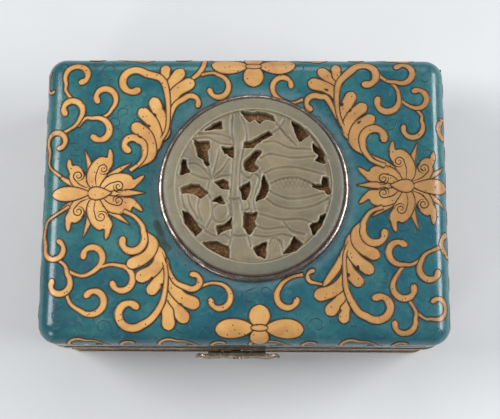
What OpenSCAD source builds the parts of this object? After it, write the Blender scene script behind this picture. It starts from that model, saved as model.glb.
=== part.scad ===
// Enamelled copper box with a hinged lid, a carved stone roundel and a front clasp.
// Origin: middle of the face that the box stands on. +X right, +Y back, +Z up.
// The clasp is on the -Y side and the hinge on the +Y side.

/* [Box] */
// Length from left to right over the enamel
box_l = 64; // [52:1:90]
// Depth from front to back over the enamel
box_w = 46; // [40:1:70]
// Height of the base, from its foot to its mouth
base_h = 13; // [12:0.5:30]
// Height of the lid, from the mouth to its enamel top
lid_h = 11; // [7:0.5:16]
// Radius of the four corners in plan
corner_r = 3; // [2:0.25:6]
// Rounding of the lid's top edge
lid_edge_r = 3; // [1.6:0.2:5]

/* [Walls] */
// Thickness of the copper sheet
copper_t = 0.6; // [0.4:0.1:1]
// Thickness of the enamel outside
enamel_t = 0.5; // [0.3:0.1:0.8]
// Thickness of the enamel lining inside
lining_t = 0.3; // [0.2:0.1:0.5]

/* [Rims] */
// Height of each mouth rim
rim_h = 1.2; // [0.8:0.1:2]
// How far the rims stand proud of the enamel
rim_proud = 0.2; // [0.1:0.05:0.4]
// Height of the foot rim
foot_h = 1.2; // [0.8:0.1:2]
// Width of the foot rim's ledge under the floor
foot_ledge = 1; // [0.6:0.1:2]
// Gap between the underside enamel and the table
foot_recess = 0.5; // [0.2:0.1:0.7]

/* [Roundel] */
// Diameter of the stone
roundel_d = 28.8; // [20:0.2:32]
// Thickness of the stone
roundel_t = 1.8; // [1.4:0.1:3]
// Rounding of the stone's top edge
roundel_edge_r = 0.7; // [0.4:0.1:1]
// Offset of the stone to the right of the lid's middle
roundel_x = 1.4; // [-2:0.2:2]
// Offset of the stone behind the lid's middle
roundel_y = 1.4; // [-1:0.2:2]
// Thickness of the disc behind the stone
backing_t = 0.6; // [0.4:0.1:1]
// Wall thickness of the bezel
bezel_t = 0.55; // [0.4:0.05:1]
// Height of the bezel above the enamel
bezel_h = 0.8; // [0.5:0.1:1.2]
// Slope of the bezel's outer face, as the loss of radius at its top
bezel_lean = 0.2; // [0:0.05:0.3]

/* [Hinge] */
// Outer diameter of the hinge knuckles
hinge_od = 1.5; // [1.3:0.1:2.4]
// Diameter of the hinge pin
hinge_pin_d = 0.8; // [0.6:0.1:1]
// Distance from the box's side to the end knuckle
hinge_inset = 1.5; // [1:0.1:6]
// How far the pin sticks out at its right end
hinge_pin_out = 2.9; // [0.5:0.1:3.5]

/* [Clasp] */
// Offset of the clasp to the left of the box's middle
clasp_x = 1.2; // [-3:0.2:3]
// Width of the clasp plate
clasp_w = 14; // [12:0.5:18]
// Length of the clasp plate below its pin
clasp_len = 7.5; // [7:0.25:9]
// Thickness of the clasp plate
clasp_t = 0.45; // [0.35:0.05:0.6]
// Outward lean of the clasp plate when it is closed
clasp_lean = 4; // [2:1:8]
// Outer diameter of the clasp knuckles
clasp_od = 1; // [0.9:0.05:1.2]
// Diameter of the clasp pin
clasp_pin_d = 0.5; // [0.4:0.05:0.6]
// Length of the clasp plate's knuckle
clasp_knuckle_w = 4.6; // [3:0.2:6]
// Length of each knuckle of the bracket
bracket_knuckle_w = 2.2; // [1.5:0.1:3]
// Thickness of the bracket strip
bracket_t = 0.2; // [0.15:0.05:0.3]
// Diameter of the stud's stem
stud_d = 1.6; // [1.2:0.1:2]
// Diameter of the stud's collar
stud_collar_d = 2.8; // [2.4:0.1:3.4]
// How far the stud's tip stands out past the clasp plate
stud_tip = 0.1; // [0:0.05:0.3]
// Thickness of the strike plate under the stud
strike_t = 0.3; // [0.2:0.1:0.5]

/* [Fits] */
// Gap between the two mouth rims when closed
seam_gap = 0.1; // [0.05:0.01:0.2]
// Radial clearance of a pin in a knuckle that turns on it
pin_clear = 0.03; // [0.02:0.01:0.08]
// End gap between neighbouring knuckles
knuckle_gap = 0.15; // [0.1:0.05:0.3]
// Gap between a knuckle and the rim that turns past it
swing_clear = 0.15; // [0.1:0.05:0.3]
// Radial clearance of the stone and its backing in the bezel
seat_clear = 0.05; // [0.02:0.01:0.1]
// Clearance of the stud in the clasp plate's slot, and behind the plate
stud_clear = 0.2; // [0.1:0.05:0.3]

/* [Hidden] */
$fn = 64;

// Depth below the enamel's face at which each layer of the wall starts
copper_in = enamel_t;
lining_in = enamel_t + copper_t;
room_in = lining_in + lining_t;

// Levels
floor_z = foot_h;
floor_top_z = floor_z + copper_t;
base_wall_top_z = base_h - rim_h;
lid_z = base_h + seam_gap;
lid_wall_z = lid_z + rim_h;
lid_top_z = base_h + lid_h;
seat_z = lid_top_z - enamel_t;

// The lid's rounding can't be larger than the plan corner
lid_round_r = min(lid_edge_r, corner_r);
// The smallest radius that an inner layer's corner keeps
least_r = 0.2;
// Overlap of a cutting shape past the face that it opens
cut = 1;

// Rims
rim_back_y = box_w / 2 + rim_proud;

// Roundel and bezel
roundel_r = roundel_d / 2;
bezel_in_r = roundel_r + seat_clear;
bezel_out_r = bezel_in_r + bezel_t;
// Diameter of stone that the piercings below are laid out on
carving_d = 28.8;
// Each piercing: middle x, middle y, width, height, turn
piercings = [
    [-6.6, 9.9, 2.7, 1.5, 10], [0.7, 11.2, 5.2, 1.5, 0], [7.4, 8.8, 2.2, 3.4, 25],
    [-8.2, 5.2, 2.2, 3.8, -15], [-4.3, 5.5, 1.9, 1.8, 0], [0.8, 7.4, 5, 1.7, 25],
    [10.4, 5.2, 2, 2.9, 25], [-11, 3, 1.6, 2.6, -15], [-0.3, 3.8, 1.9, 2.9, -10],
    [10.8, 0, 2, 2.9, 0], [-5, 0.2, 2.1, 1.5, 0], [-9.5, -1, 4.2, 1.6, 20],
    [-1.2, -0.9, 1.4, 3, 0], [1.4, -0.5, 1.6, 4, -20], [-5.4, -2.4, 2.1, 1, 0],
    [-9.6, -6.2, 1.7, 4.6, 35], [-4.7, -6.6, 2, 2.2, 0], [-0.5, -6, 1.7, 3.4, 0],
    [10, -6.2, 2, 3.8, -30], [-5.8, -10.2, 4, 1.8, -25], [1, -10.3, 1.7, 3, 0],
    [6.3, -9.6, 3, 1.8, 35]
];

// Hinge
hinge_r = hinge_od / 2;
hinge_pin_r = hinge_pin_d / 2;
hinge_y = rim_back_y + swing_clear + hinge_r;
hinge_z = base_h + seam_gap / 2;
hinge_half = box_l / 2 - hinge_inset;
hinge_count = 5;
knuckle_w = (2 * hinge_half - (hinge_count - 1) * knuckle_gap) / hinge_count;
// Length of the pin's end left of the first knuckle
hinge_pin_left = 0.2;

// Clasp
clasp_r = clasp_od / 2;
clasp_pin_r = clasp_pin_d / 2;
clasp_y = -(rim_back_y + bracket_t + swing_clear + clasp_r);
clasp_z = lid_z + rim_h / 2;
bracket_half = clasp_knuckle_w / 2 + knuckle_gap + bracket_knuckle_w;
slot_half = stud_d / 2 + stud_clear;
// Lobes of the clasp plate
outer_lobe_r = 1.9;
inner_lobe_r = 2.1;
shoulder_r = 1.8;
outer_lobe_x = clasp_w / 2 - outer_lobe_r;
inner_lobe_x = slot_half + inner_lobe_r / 2;
shoulder_x = clasp_w / 4;
shoulder_v = clasp_r + knuckle_gap + 0.1 + shoulder_r;
inner_lobe_v = clasp_len - inner_lobe_r;
outer_lobe_v = inner_lobe_v - 0.9;
// Depth of the stud below the clasp pin, measured down the plate
stud_v = inner_lobe_v - 0.6;
plate_in_y = clasp_y - stud_v * sin(clasp_lean) + clasp_t / 2 / cos(clasp_lean);
stud_z = clasp_z - stud_v * cos(clasp_lean);
collar_y = plate_in_y + stud_clear / 2;
stud_tip_y = plate_in_y - clasp_t - stud_tip;
strike_lobe_r = 2;

// Rounded rectangle of the box's plan, set in from the enamel's face
module plan(inset) {
    l = box_l - 2 * inset;
    w = box_w - 2 * inset;
    r = max(corner_r - inset, least_r);
    square([l - 2 * r, w], center = true);
    square([l, w - 2 * r], center = true);
    for (x = [-1, 1], y = [-1, 1])
        translate([x * (l / 2 - r), y * (w / 2 - r)]) circle(r);
}

// Ring that follows the box's walls, between two insets and two levels
module wall_ring(outer, inner, z0, z1) {
    translate([0, 0, z0]) linear_extrude(z1 - z0) difference() {
        plan(outer);
        plan(inner);
    }
}

// Plate that fills the box's plan, set in from the enamel's face
module wall_plate(inset, z0, z1) {
    translate([0, 0, z0]) linear_extrude(z1 - z0) plan(inset);
}

// Half-width profile with a rounded top corner
module round_top(w, h, e) {
    square([w, h - e]);
    if (w > e) square([w - e, h]);
    translate([w - e, h - e]) circle(e);
}

// The full profile, on both sides of the middle
module round_top_pair(w, h, e) {
    round_top(w, h, e);
    mirror([1, 0]) round_top(w, h, e);
}

// Solid of the lid's outer form set in by a depth, with a rounded top edge
module lid_form(inset) {
    l = box_l - 2 * inset;
    w = box_w - 2 * inset;
    h = lid_h - inset;
    r = max(corner_r - inset, least_r);
    e = max(lid_round_r - inset, least_r);
    translate([0, 0, base_h]) {
        translate([l / 2 - r, 0, 0]) rotate([90, 0, -90])
            linear_extrude(l - 2 * r) round_top_pair(w / 2, h, e);
        translate([0, w / 2 - r, 0]) rotate([90, 0, 0])
            linear_extrude(w - 2 * r) round_top_pair(l / 2, h, e);
        for (x = [-1, 1], y = [-1, 1])
            translate([x * (l / 2 - r), y * (w / 2 - r), 0])
                rotate_extrude() intersection() {
                    round_top(r, h, e);
                    square([r, h]);
                }
    }
}

// Layer of the lid between two depths, open at the bottom
module lid_layer(outer, inner) {
    difference() {
        lid_form(outer);
        lid_form(inner);
        translate([-box_l, -box_w, base_h - cut]) cube([2 * box_l, 2 * box_w, lid_wall_z - base_h + cut]);
    }
}

// Cylinder along X
module bar(x0, x1, y, z, r) {
    translate([x0, y, z]) rotate([0, 90, 0]) cylinder(h = x1 - x0, r = r);
}

// Hinge knuckle with the web that joins it to its rim; web_z0 and web_z1 bound the web
module hinge_knuckle(i, web_z0, web_z1, bore_r) {
    x0 = -hinge_half + i * (knuckle_w + knuckle_gap);
    difference() {
        union() {
            bar(x0, x0 + knuckle_w, hinge_y, hinge_z, hinge_r);
            translate([x0, rim_back_y, web_z0]) cube([knuckle_w, hinge_y - rim_back_y, web_z1 - web_z0]);
        }
        bar(x0 - cut, x0 + knuckle_w + cut, hinge_y, hinge_z, bore_r);
    }
}

// Plate outline of the clasp, with its pin on the origin and its length down -Y
module clasp_outline() {
    difference() {
        union() {
            translate([-clasp_knuckle_w / 2, -shoulder_v]) square([clasp_knuckle_w, shoulder_v]);
            translate([-outer_lobe_x, -inner_lobe_v]) square([2 * outer_lobe_x, inner_lobe_v - shoulder_v]);
            for (s = [-1, 1]) {
                translate([s * shoulder_x, -shoulder_v]) circle(shoulder_r);
                translate([s * outer_lobe_x, -outer_lobe_v]) circle(outer_lobe_r);
                translate([s * inner_lobe_x, -inner_lobe_v]) circle(inner_lobe_r);
            }
        }
        translate([0, -stud_v]) circle(slot_half);
        translate([-slot_half, -clasp_len - cut]) square([2 * slot_half, clasp_len + cut - stud_v]);
    }
}

// Outline of one piercing on the stone's own plan
module piercing(p, k) {
    translate([k * p[0], k * p[1]]) rotate(p[4])
        polygon([for (a = [0:45:315]) [k * p[2] / 2 * cos(a), k * p[3] / 2 * sin(a)]]);
}

module base_wall() {
    color("peru") wall_ring(copper_in, lining_in, foot_h, base_wall_top_z);
}

module base_floor() {
    color("peru") wall_plate(lining_in, floor_z, floor_top_z);
}

module base_enamel() {
    color("teal") wall_ring(0, copper_in, foot_h, base_wall_top_z);
}

module floor_enamel() {
    color("darkcyan") wall_plate(lining_in + foot_ledge, foot_recess, floor_z);
}

module base_lining() {
    color("turquoise") {
        difference() {
            wall_plate(lining_in, floor_top_z, base_wall_top_z);
            wall_plate(room_in, floor_top_z + lining_t, base_wall_top_z + cut);
        }
    }
}

module base_rim() {
    color("goldenrod") wall_ring(-rim_proud, room_in, base_wall_top_z, base_h);
}

module foot_rim() {
    color("goldenrod") wall_ring(-rim_proud, lining_in + foot_ledge, 0, foot_h);
}

module base_hinge() {
    color("goldenrod") for (i = [0:2:hinge_count - 1])
        hinge_knuckle(i, hinge_z - hinge_r, base_h, hinge_pin_r);
}

module hinge_pin() {
    color("dimgray")
        bar(-hinge_half - hinge_pin_left, hinge_half + hinge_pin_out, hinge_y, hinge_z, hinge_pin_r);
}

module strike_plate() {
    color("goldenrod") translate([-clasp_x, -box_w / 2, stud_z]) rotate([90, 0, 0])
        linear_extrude(strike_t) {
            for (s = [-1, 1]) translate([s * strike_lobe_r, 0]) circle(strike_lobe_r);
            translate([-strike_lobe_r, -strike_lobe_r]) square(2 * strike_lobe_r);
        }
}

module catch_stud() {
    strike_face_y = -box_w / 2 - strike_t;
    color("gold") translate([-clasp_x, 0, stud_z]) rotate([90, 0, 0]) {
        translate([0, 0, -strike_face_y]) cylinder(h = strike_face_y - collar_y, r = stud_collar_d / 2);
        translate([0, 0, -strike_face_y]) cylinder(h = strike_face_y - stud_tip_y, r = stud_d / 2);
    }
}

module lid_shell() {
    color("peru") lid_layer(copper_in, lining_in);
}

module lid_enamel() {
    color("teal") difference() {
        lid_layer(0, copper_in);
        translate([roundel_x, roundel_y, seat_z - cut]) cylinder(h = enamel_t + 2 * cut, r = bezel_out_r);
    }
}

module lid_lining() {
    color("turquoise") lid_layer(lining_in, room_in);
}

module lid_rim() {
    color("goldenrod") wall_ring(-rim_proud, room_in, lid_z, lid_wall_z);
}

module bezel() {
    top = enamel_t + bezel_h;
    color("silver") translate([roundel_x, roundel_y, seat_z]) rotate_extrude()
        polygon([
            [bezel_in_r, 0], [bezel_out_r, 0], [bezel_out_r, enamel_t],
            [bezel_out_r - bezel_lean, top], [bezel_in_r, top]
        ]);
}

module roundel_backing() {
    color("saddlebrown") translate([roundel_x, roundel_y, seat_z])
        cylinder(h = backing_t, r = bezel_in_r - seat_clear);
}

module carved_roundel() {
    color("darkseagreen") translate([roundel_x, roundel_y, seat_z + backing_t]) difference() {
        rotate_extrude() intersection() {
            round_top(roundel_r, roundel_t, roundel_edge_r);
            square([roundel_r, roundel_t]);
        }
        translate([0, 0, -cut]) linear_extrude(roundel_t + 2 * cut)
            for (p = piercings) piercing(p, roundel_d / carving_d);
    }
}

module lid_hinge() {
    color("goldenrod") for (i = [1:2:hinge_count - 2])
        hinge_knuckle(i, lid_z, hinge_z + hinge_r, hinge_pin_r + pin_clear);
}

module clasp_bracket() {
    color("goldenrod") translate([-clasp_x, 0, 0]) difference() {
        union() {
            translate([-bracket_half, -rim_back_y - bracket_t, lid_z])
                cube([2 * bracket_half, bracket_t, rim_h]);
            for (s = [0, 1]) mirror([s, 0, 0]) {
                bar(bracket_half - bracket_knuckle_w, bracket_half, clasp_y, clasp_z, clasp_r);
                translate([bracket_half - bracket_knuckle_w, clasp_y, clasp_z - clasp_r])
                    cube([bracket_knuckle_w, -rim_back_y - clasp_y, clasp_r]);
            }
        }
        bar(-bracket_half - cut, bracket_half + cut, clasp_y, clasp_z, clasp_pin_r);
    }
}

module clasp_pin() {
    color("dimgray") bar(-clasp_x - bracket_half, -clasp_x + bracket_half, clasp_y, clasp_z, clasp_pin_r);
}

module clasp_plate() {
    color("darkgoldenrod") translate([-clasp_x, clasp_y, clasp_z]) rotate([-clasp_lean, 0, 0]) difference() {
        union() {
            rotate([90, 0, 0]) translate([0, 0, -clasp_t / 2]) linear_extrude(clasp_t) clasp_outline();
            bar(-clasp_knuckle_w / 2, clasp_knuckle_w / 2, 0, 0, clasp_r);
        }
        bar(-clasp_w, clasp_w, 0, 0, clasp_pin_r + pin_clear);
    }
}

base_wall();
base_floor();
base_enamel();
floor_enamel();
base_lining();
base_rim();
foot_rim();
base_hinge();
hinge_pin();
strike_plate();
catch_stud();
lid_shell();
lid_enamel();
lid_lining();
lid_rim();
bezel();
roundel_backing();
carved_roundel();
lid_hinge();
clasp_bracket();
clasp_pin();
clasp_plate();
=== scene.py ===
import math

import bmesh
import bpy
import numpy as np
from mathutils import Matrix, Vector, kdtree


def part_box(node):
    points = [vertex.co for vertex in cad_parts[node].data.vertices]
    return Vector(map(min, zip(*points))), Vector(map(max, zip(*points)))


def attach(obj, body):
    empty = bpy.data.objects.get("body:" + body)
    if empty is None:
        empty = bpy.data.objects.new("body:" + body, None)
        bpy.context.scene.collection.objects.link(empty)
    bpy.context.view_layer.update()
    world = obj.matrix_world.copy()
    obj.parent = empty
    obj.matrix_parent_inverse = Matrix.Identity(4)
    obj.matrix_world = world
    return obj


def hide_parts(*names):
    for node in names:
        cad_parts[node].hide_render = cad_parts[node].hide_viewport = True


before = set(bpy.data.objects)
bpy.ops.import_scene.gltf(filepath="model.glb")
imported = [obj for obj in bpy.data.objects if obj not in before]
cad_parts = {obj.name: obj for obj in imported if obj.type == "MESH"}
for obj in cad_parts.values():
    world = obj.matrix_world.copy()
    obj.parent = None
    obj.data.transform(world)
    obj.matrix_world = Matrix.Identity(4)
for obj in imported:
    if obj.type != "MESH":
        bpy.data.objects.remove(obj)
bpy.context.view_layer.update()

# ---------------------------------------------------------------- sizes, in millimetres
MM = 0.001


def box_mm(node):
    """Lowest and highest corner of a CAD node, in millimetres."""
    low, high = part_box(node)
    return np.array(low) / MM, np.array(high) / MM


LID_LOW, LID_HIGH = box_mm("lid_enamel")
BASE_LOW, BASE_HIGH = box_mm("base_enamel")
STONE_LOW, STONE_HIGH = box_mm("carved_roundel")
BEZEL_LOW, BEZEL_HIGH = box_mm("bezel")
HALF_X = LID_HIGH[0]
HALF_Y = LID_HIGH[1]
LID_TOP = LID_HIGH[2]
LID_BOTTOM = LID_LOW[2]
STONE_XY = (STONE_LOW[:2] + STONE_HIGH[:2]) / 2
STONE_R = (STONE_HIGH[0] - STONE_LOW[0]) / 2
BEZEL_R = (BEZEL_HIGH[0] - BEZEL_LOW[0]) / 2

# The box's corners and the lid's top edge are rounded alike
ROUND = 3.0
CORE_X = HALF_X - ROUND
CORE_Y = HALF_Y - ROUND
ARC = ROUND * math.pi / 2
LID_SKIRT = ARC + LID_TOP - ROUND - LID_BOTTOM

# Enamel and wire heights over the fired ground
FILL_RISE = 0.02
FILL_DOME = 0.02
WIRE_RISE = 0.035
LEVEL_STEP = 0.03
WIRE_W = 0.2
THIN_WIRE_W = 0.15
RIPPLE = 0.012
# Half width that a stroke keeps at its very ends
LEAST_HALF = 0.004
# How deep a coat's open edges turn in, and how far the ground runs in under the bezel
COAT_EDGE = 0.35
BEZEL_LAP = 0.35
# Starting value of a search for the nearest line
FAR = 99.0


# ---------------------------------------------------------------- numbers and lines
def smoothstep(low, high, x):
    """0 at low and 1 at high, whichever of the two is larger."""
    t = np.clip((x - low) / (high - low), 0, 1)
    return t * t * (3 - 2 * t)


def unit(angle):
    """Unit vector at an angle in degrees."""
    a = math.radians(angle)
    return np.array([math.cos(a), math.sin(a)])


def spline(points, steps=14):
    """Smooth line through a few points."""
    p = np.array(points, float)
    p = np.vstack([2 * p[0] - p[1], p, 2 * p[-1] - p[-2]])
    t = np.linspace(0, 1, steps, endpoint=False)[:, None]
    out = []
    for a, b, c, d in zip(p[:-3], p[1:-2], p[2:-1], p[3:]):
        out.append(b + t * (c - a) / 2 + t**2 * (a - 2.5 * b + 2 * c - d / 2)
                   + t**3 * (1.5 * (b - c) + (d - a) / 2))
    return np.vstack(out + [p[-2][None]])


def bezier(a, b, c, d, steps=24):
    t = np.linspace(0, 1, steps)[:, None]
    return a * (1 - t) ** 3 + 3 * b * t * (1 - t) ** 2 + 3 * c * t**2 * (1 - t) + d * t**3


def spiral(eye, radius, start, sweep, close=0.42, steps=60):
    """Arc of a narrowing spiral round its eye, with angles in degrees."""
    t = np.linspace(0, 1, steps)
    a = np.radians(start + sweep * t)
    r = radius * (1 - (1 - close) * t)
    return np.stack([eye[0] + r * np.cos(a), eye[1] + r * np.sin(a)], 1)


def lengths(line):
    return np.concatenate([[0], np.cumsum(np.hypot(*np.diff(line, axis=0).T))])


def resample(line, s):
    have = lengths(line)
    return np.stack([np.interp(s, have, line[:, k]) for k in (0, 1)], 1)


def stations(length, cap, step=0.24):
    """Places along a stroke, closer together at its two rounded ends."""
    near = cap * (1 - np.cos(np.linspace(0, math.pi / 2, 8)))
    near = near[near < length / 2]
    middle = np.linspace(near[-1], length - near[-1], max(3, int(length / step)))
    return np.concatenate([near[:-1], middle, length - near[-2::-1]])


def normals(line, closed=False):
    if closed:
        t = np.roll(line, -1, 0) - np.roll(line, 1, 0)
    else:
        t = np.gradient(line, axis=0)
    t /= np.maximum(np.hypot(*t.T), 1e-9)[:, None]
    return np.stack([-t[:, 1], t[:, 0]], 1)


def beta(t, a, b):
    """Profile from 0 to 1 and back. An end with power 0.5 is round, one with 1 is pointed."""
    peak = a / (a + b)
    return (np.clip(t, 0, 1) / peak) ** a * (np.clip(1 - t, 0, 1) / (1 - peak)) ** b


# ---------------------------------------------------------------- enamelled surfaces
def ripple(p):
    """Slight unevenness of hand-polished enamel, in millimetres."""
    x, y, z = p.T
    along = np.sin(x * 0.61 + 1.3 * np.sin(y * 0.37))
    across = np.sin(y * 0.83 + z * 0.5 + 0.7 * np.sin(x * 0.29))
    return RIPPLE * (along + across)


def bezel_dip(p):
    """The enamel falls away beside the bezel."""
    r = np.hypot(p[:, 0] - STONE_XY[0], p[:, 1] - STONE_XY[1])
    top = smoothstep(LID_TOP - 1, LID_TOP - 0.5, p[:, 2])
    return -0.2 * (1 - smoothstep(BEZEL_R + 0.1, BEZEL_R + 1.6, r)) * top


def folded(core, out, s, h):
    """Points of the lid: core point, outward direction, distance down the rounded edge, height."""
    a = np.minimum(s, ARC) / ROUND
    drop = np.maximum(s - ARC, 0)

    def place(height):
        reach = (ROUND + height) * np.sin(a)
        z = LID_TOP - ROUND + (ROUND + height) * np.cos(a) - drop
        return np.stack([core[:, 0] + out[:, 0] * reach, core[:, 1] + out[:, 1] * reach, z], 1)

    smooth = place(h)
    return place(h + ripple(smooth) + bezel_dip(smooth))


def lid_top_map(uv, h):
    """Lid's top and edges unrolled about its flat middle: (u, v) in millimetres."""
    core = np.stack([np.clip(uv[:, 0], -CORE_X, CORE_X), np.clip(uv[:, 1], -CORE_Y, CORE_Y)], 1)
    d = uv - core
    s = np.hypot(*d.T)
    out = d / np.maximum(s, 1e-9)[:, None]
    return folded(core, out, s, h)


SIDE_LENGTHS = (2 * CORE_X, ARC, 2 * CORE_Y, ARC, 2 * CORE_X, ARC, 2 * CORE_Y, ARC)
AROUND = sum(SIDE_LENGTHS)


def around(p):
    """Core point and outward direction at a distance p round the box, from the front's left end."""
    p = np.mod(p, AROUND)
    core = np.zeros((len(p), 2))
    out = np.zeros((len(p), 2))
    ends = np.cumsum((0,) + SIDE_LENGTHS)
    corners = ((-CORE_X, -CORE_Y), (CORE_X, -CORE_Y), (CORE_X, CORE_Y), (-CORE_X, CORE_Y))
    for k in range(8):
        here = (p >= ends[k]) & (p <= ends[k + 1])
        t = (p[here] - ends[k]) / SIDE_LENGTHS[k]
        a = np.array(corners[k // 2])
        b = np.array(corners[(k // 2 + 1) % 4])
        if k % 2 == 0:
            core[here] = a + t[:, None] * (b - a)
            angle = np.full(t.shape, math.radians(90 * (k // 2) - 90))
        else:
            core[here] = b
            angle = np.radians(90 * (k // 2) - 90 + 90 * t)
        out[here] = np.stack([np.cos(angle), np.sin(angle)], 1)
    return core, out


def lid_side_map(ps, h):
    """Lid's edge and walls: distance round the box, and distance down from the flat top."""
    core, out = around(ps[:, 0])
    return folded(core, out, ps[:, 1], h)


def base_side_map(pz, h):
    """Base's walls: distance round the box, and level."""
    core, out = around(pz[:, 0])
    p = np.column_stack([core + out * ROUND, pz[:, 1]])
    h = h + ripple(p)
    return np.column_stack([core + out * (ROUND + h)[:, None], pz[:, 1]])


# ---------------------------------------------------------------- meshes
class Sheet:
    """Vertices, faces and one number per vertex, gathered for one mesh."""

    def __init__(self):
        self.points, self.faces, self.marks, self.count = [], [], [], 0

    def grid(self, points, marks, closed=False):
        """Adds a grid of points with shape (rows, columns, 3), with its front to the left of its rows."""
        rows, cols = points.shape[:2]
        index = self.count + np.arange(rows * cols).reshape(rows, cols)
        if closed:
            index = np.vstack([index, index[:1]])
        a, b, c, d = index[:-1, :-1], index[1:, :-1], index[1:, 1:], index[:-1, 1:]
        self.faces.append(np.stack([a, b, c, d], -1).reshape(-1, 4))
        self.points.append(points.reshape(-1, 3))
        self.marks.append(np.broadcast_to(marks, (rows, cols)).reshape(-1))
        self.count += rows * cols

    def build(self, name, mark_name, material, body, slot, weld=0.0005):
        points = np.vstack(self.points) * MM
        mesh = bpy.data.meshes.new(name)
        mesh.from_pydata(points.tolist(), [], np.vstack(self.faces).tolist())
        mark = mesh.attributes.new(mark_name, "FLOAT", "POINT")
        mark.data.foreach_set("value", np.concatenate(self.marks).astype(np.float32))
        return finish_mesh(mesh, name, material, body, weld)


def finish_mesh(mesh, name, material, body, weld=0.0005):
    """Welds a mesh, shades it smooth and makes it a piece that rides on a body."""
    work = bmesh.new()
    work.from_mesh(mesh)
    bmesh.ops.remove_doubles(work, verts=work.verts, dist=weld * MM)
    bmesh.ops.dissolve_degenerate(work, edges=work.edges, dist=weld * MM)
    bmesh.ops.delete(work, geom=[v for v in work.verts if not v.link_faces], context="VERTS")
    work.to_mesh(mesh)
    work.free()
    mesh.shade_smooth()
    mesh.materials.append(material)
    piece = bpy.data.objects.new(name, mesh)
    bpy.context.scene.collection.objects.link(piece)
    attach(piece, body)
    return piece


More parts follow.
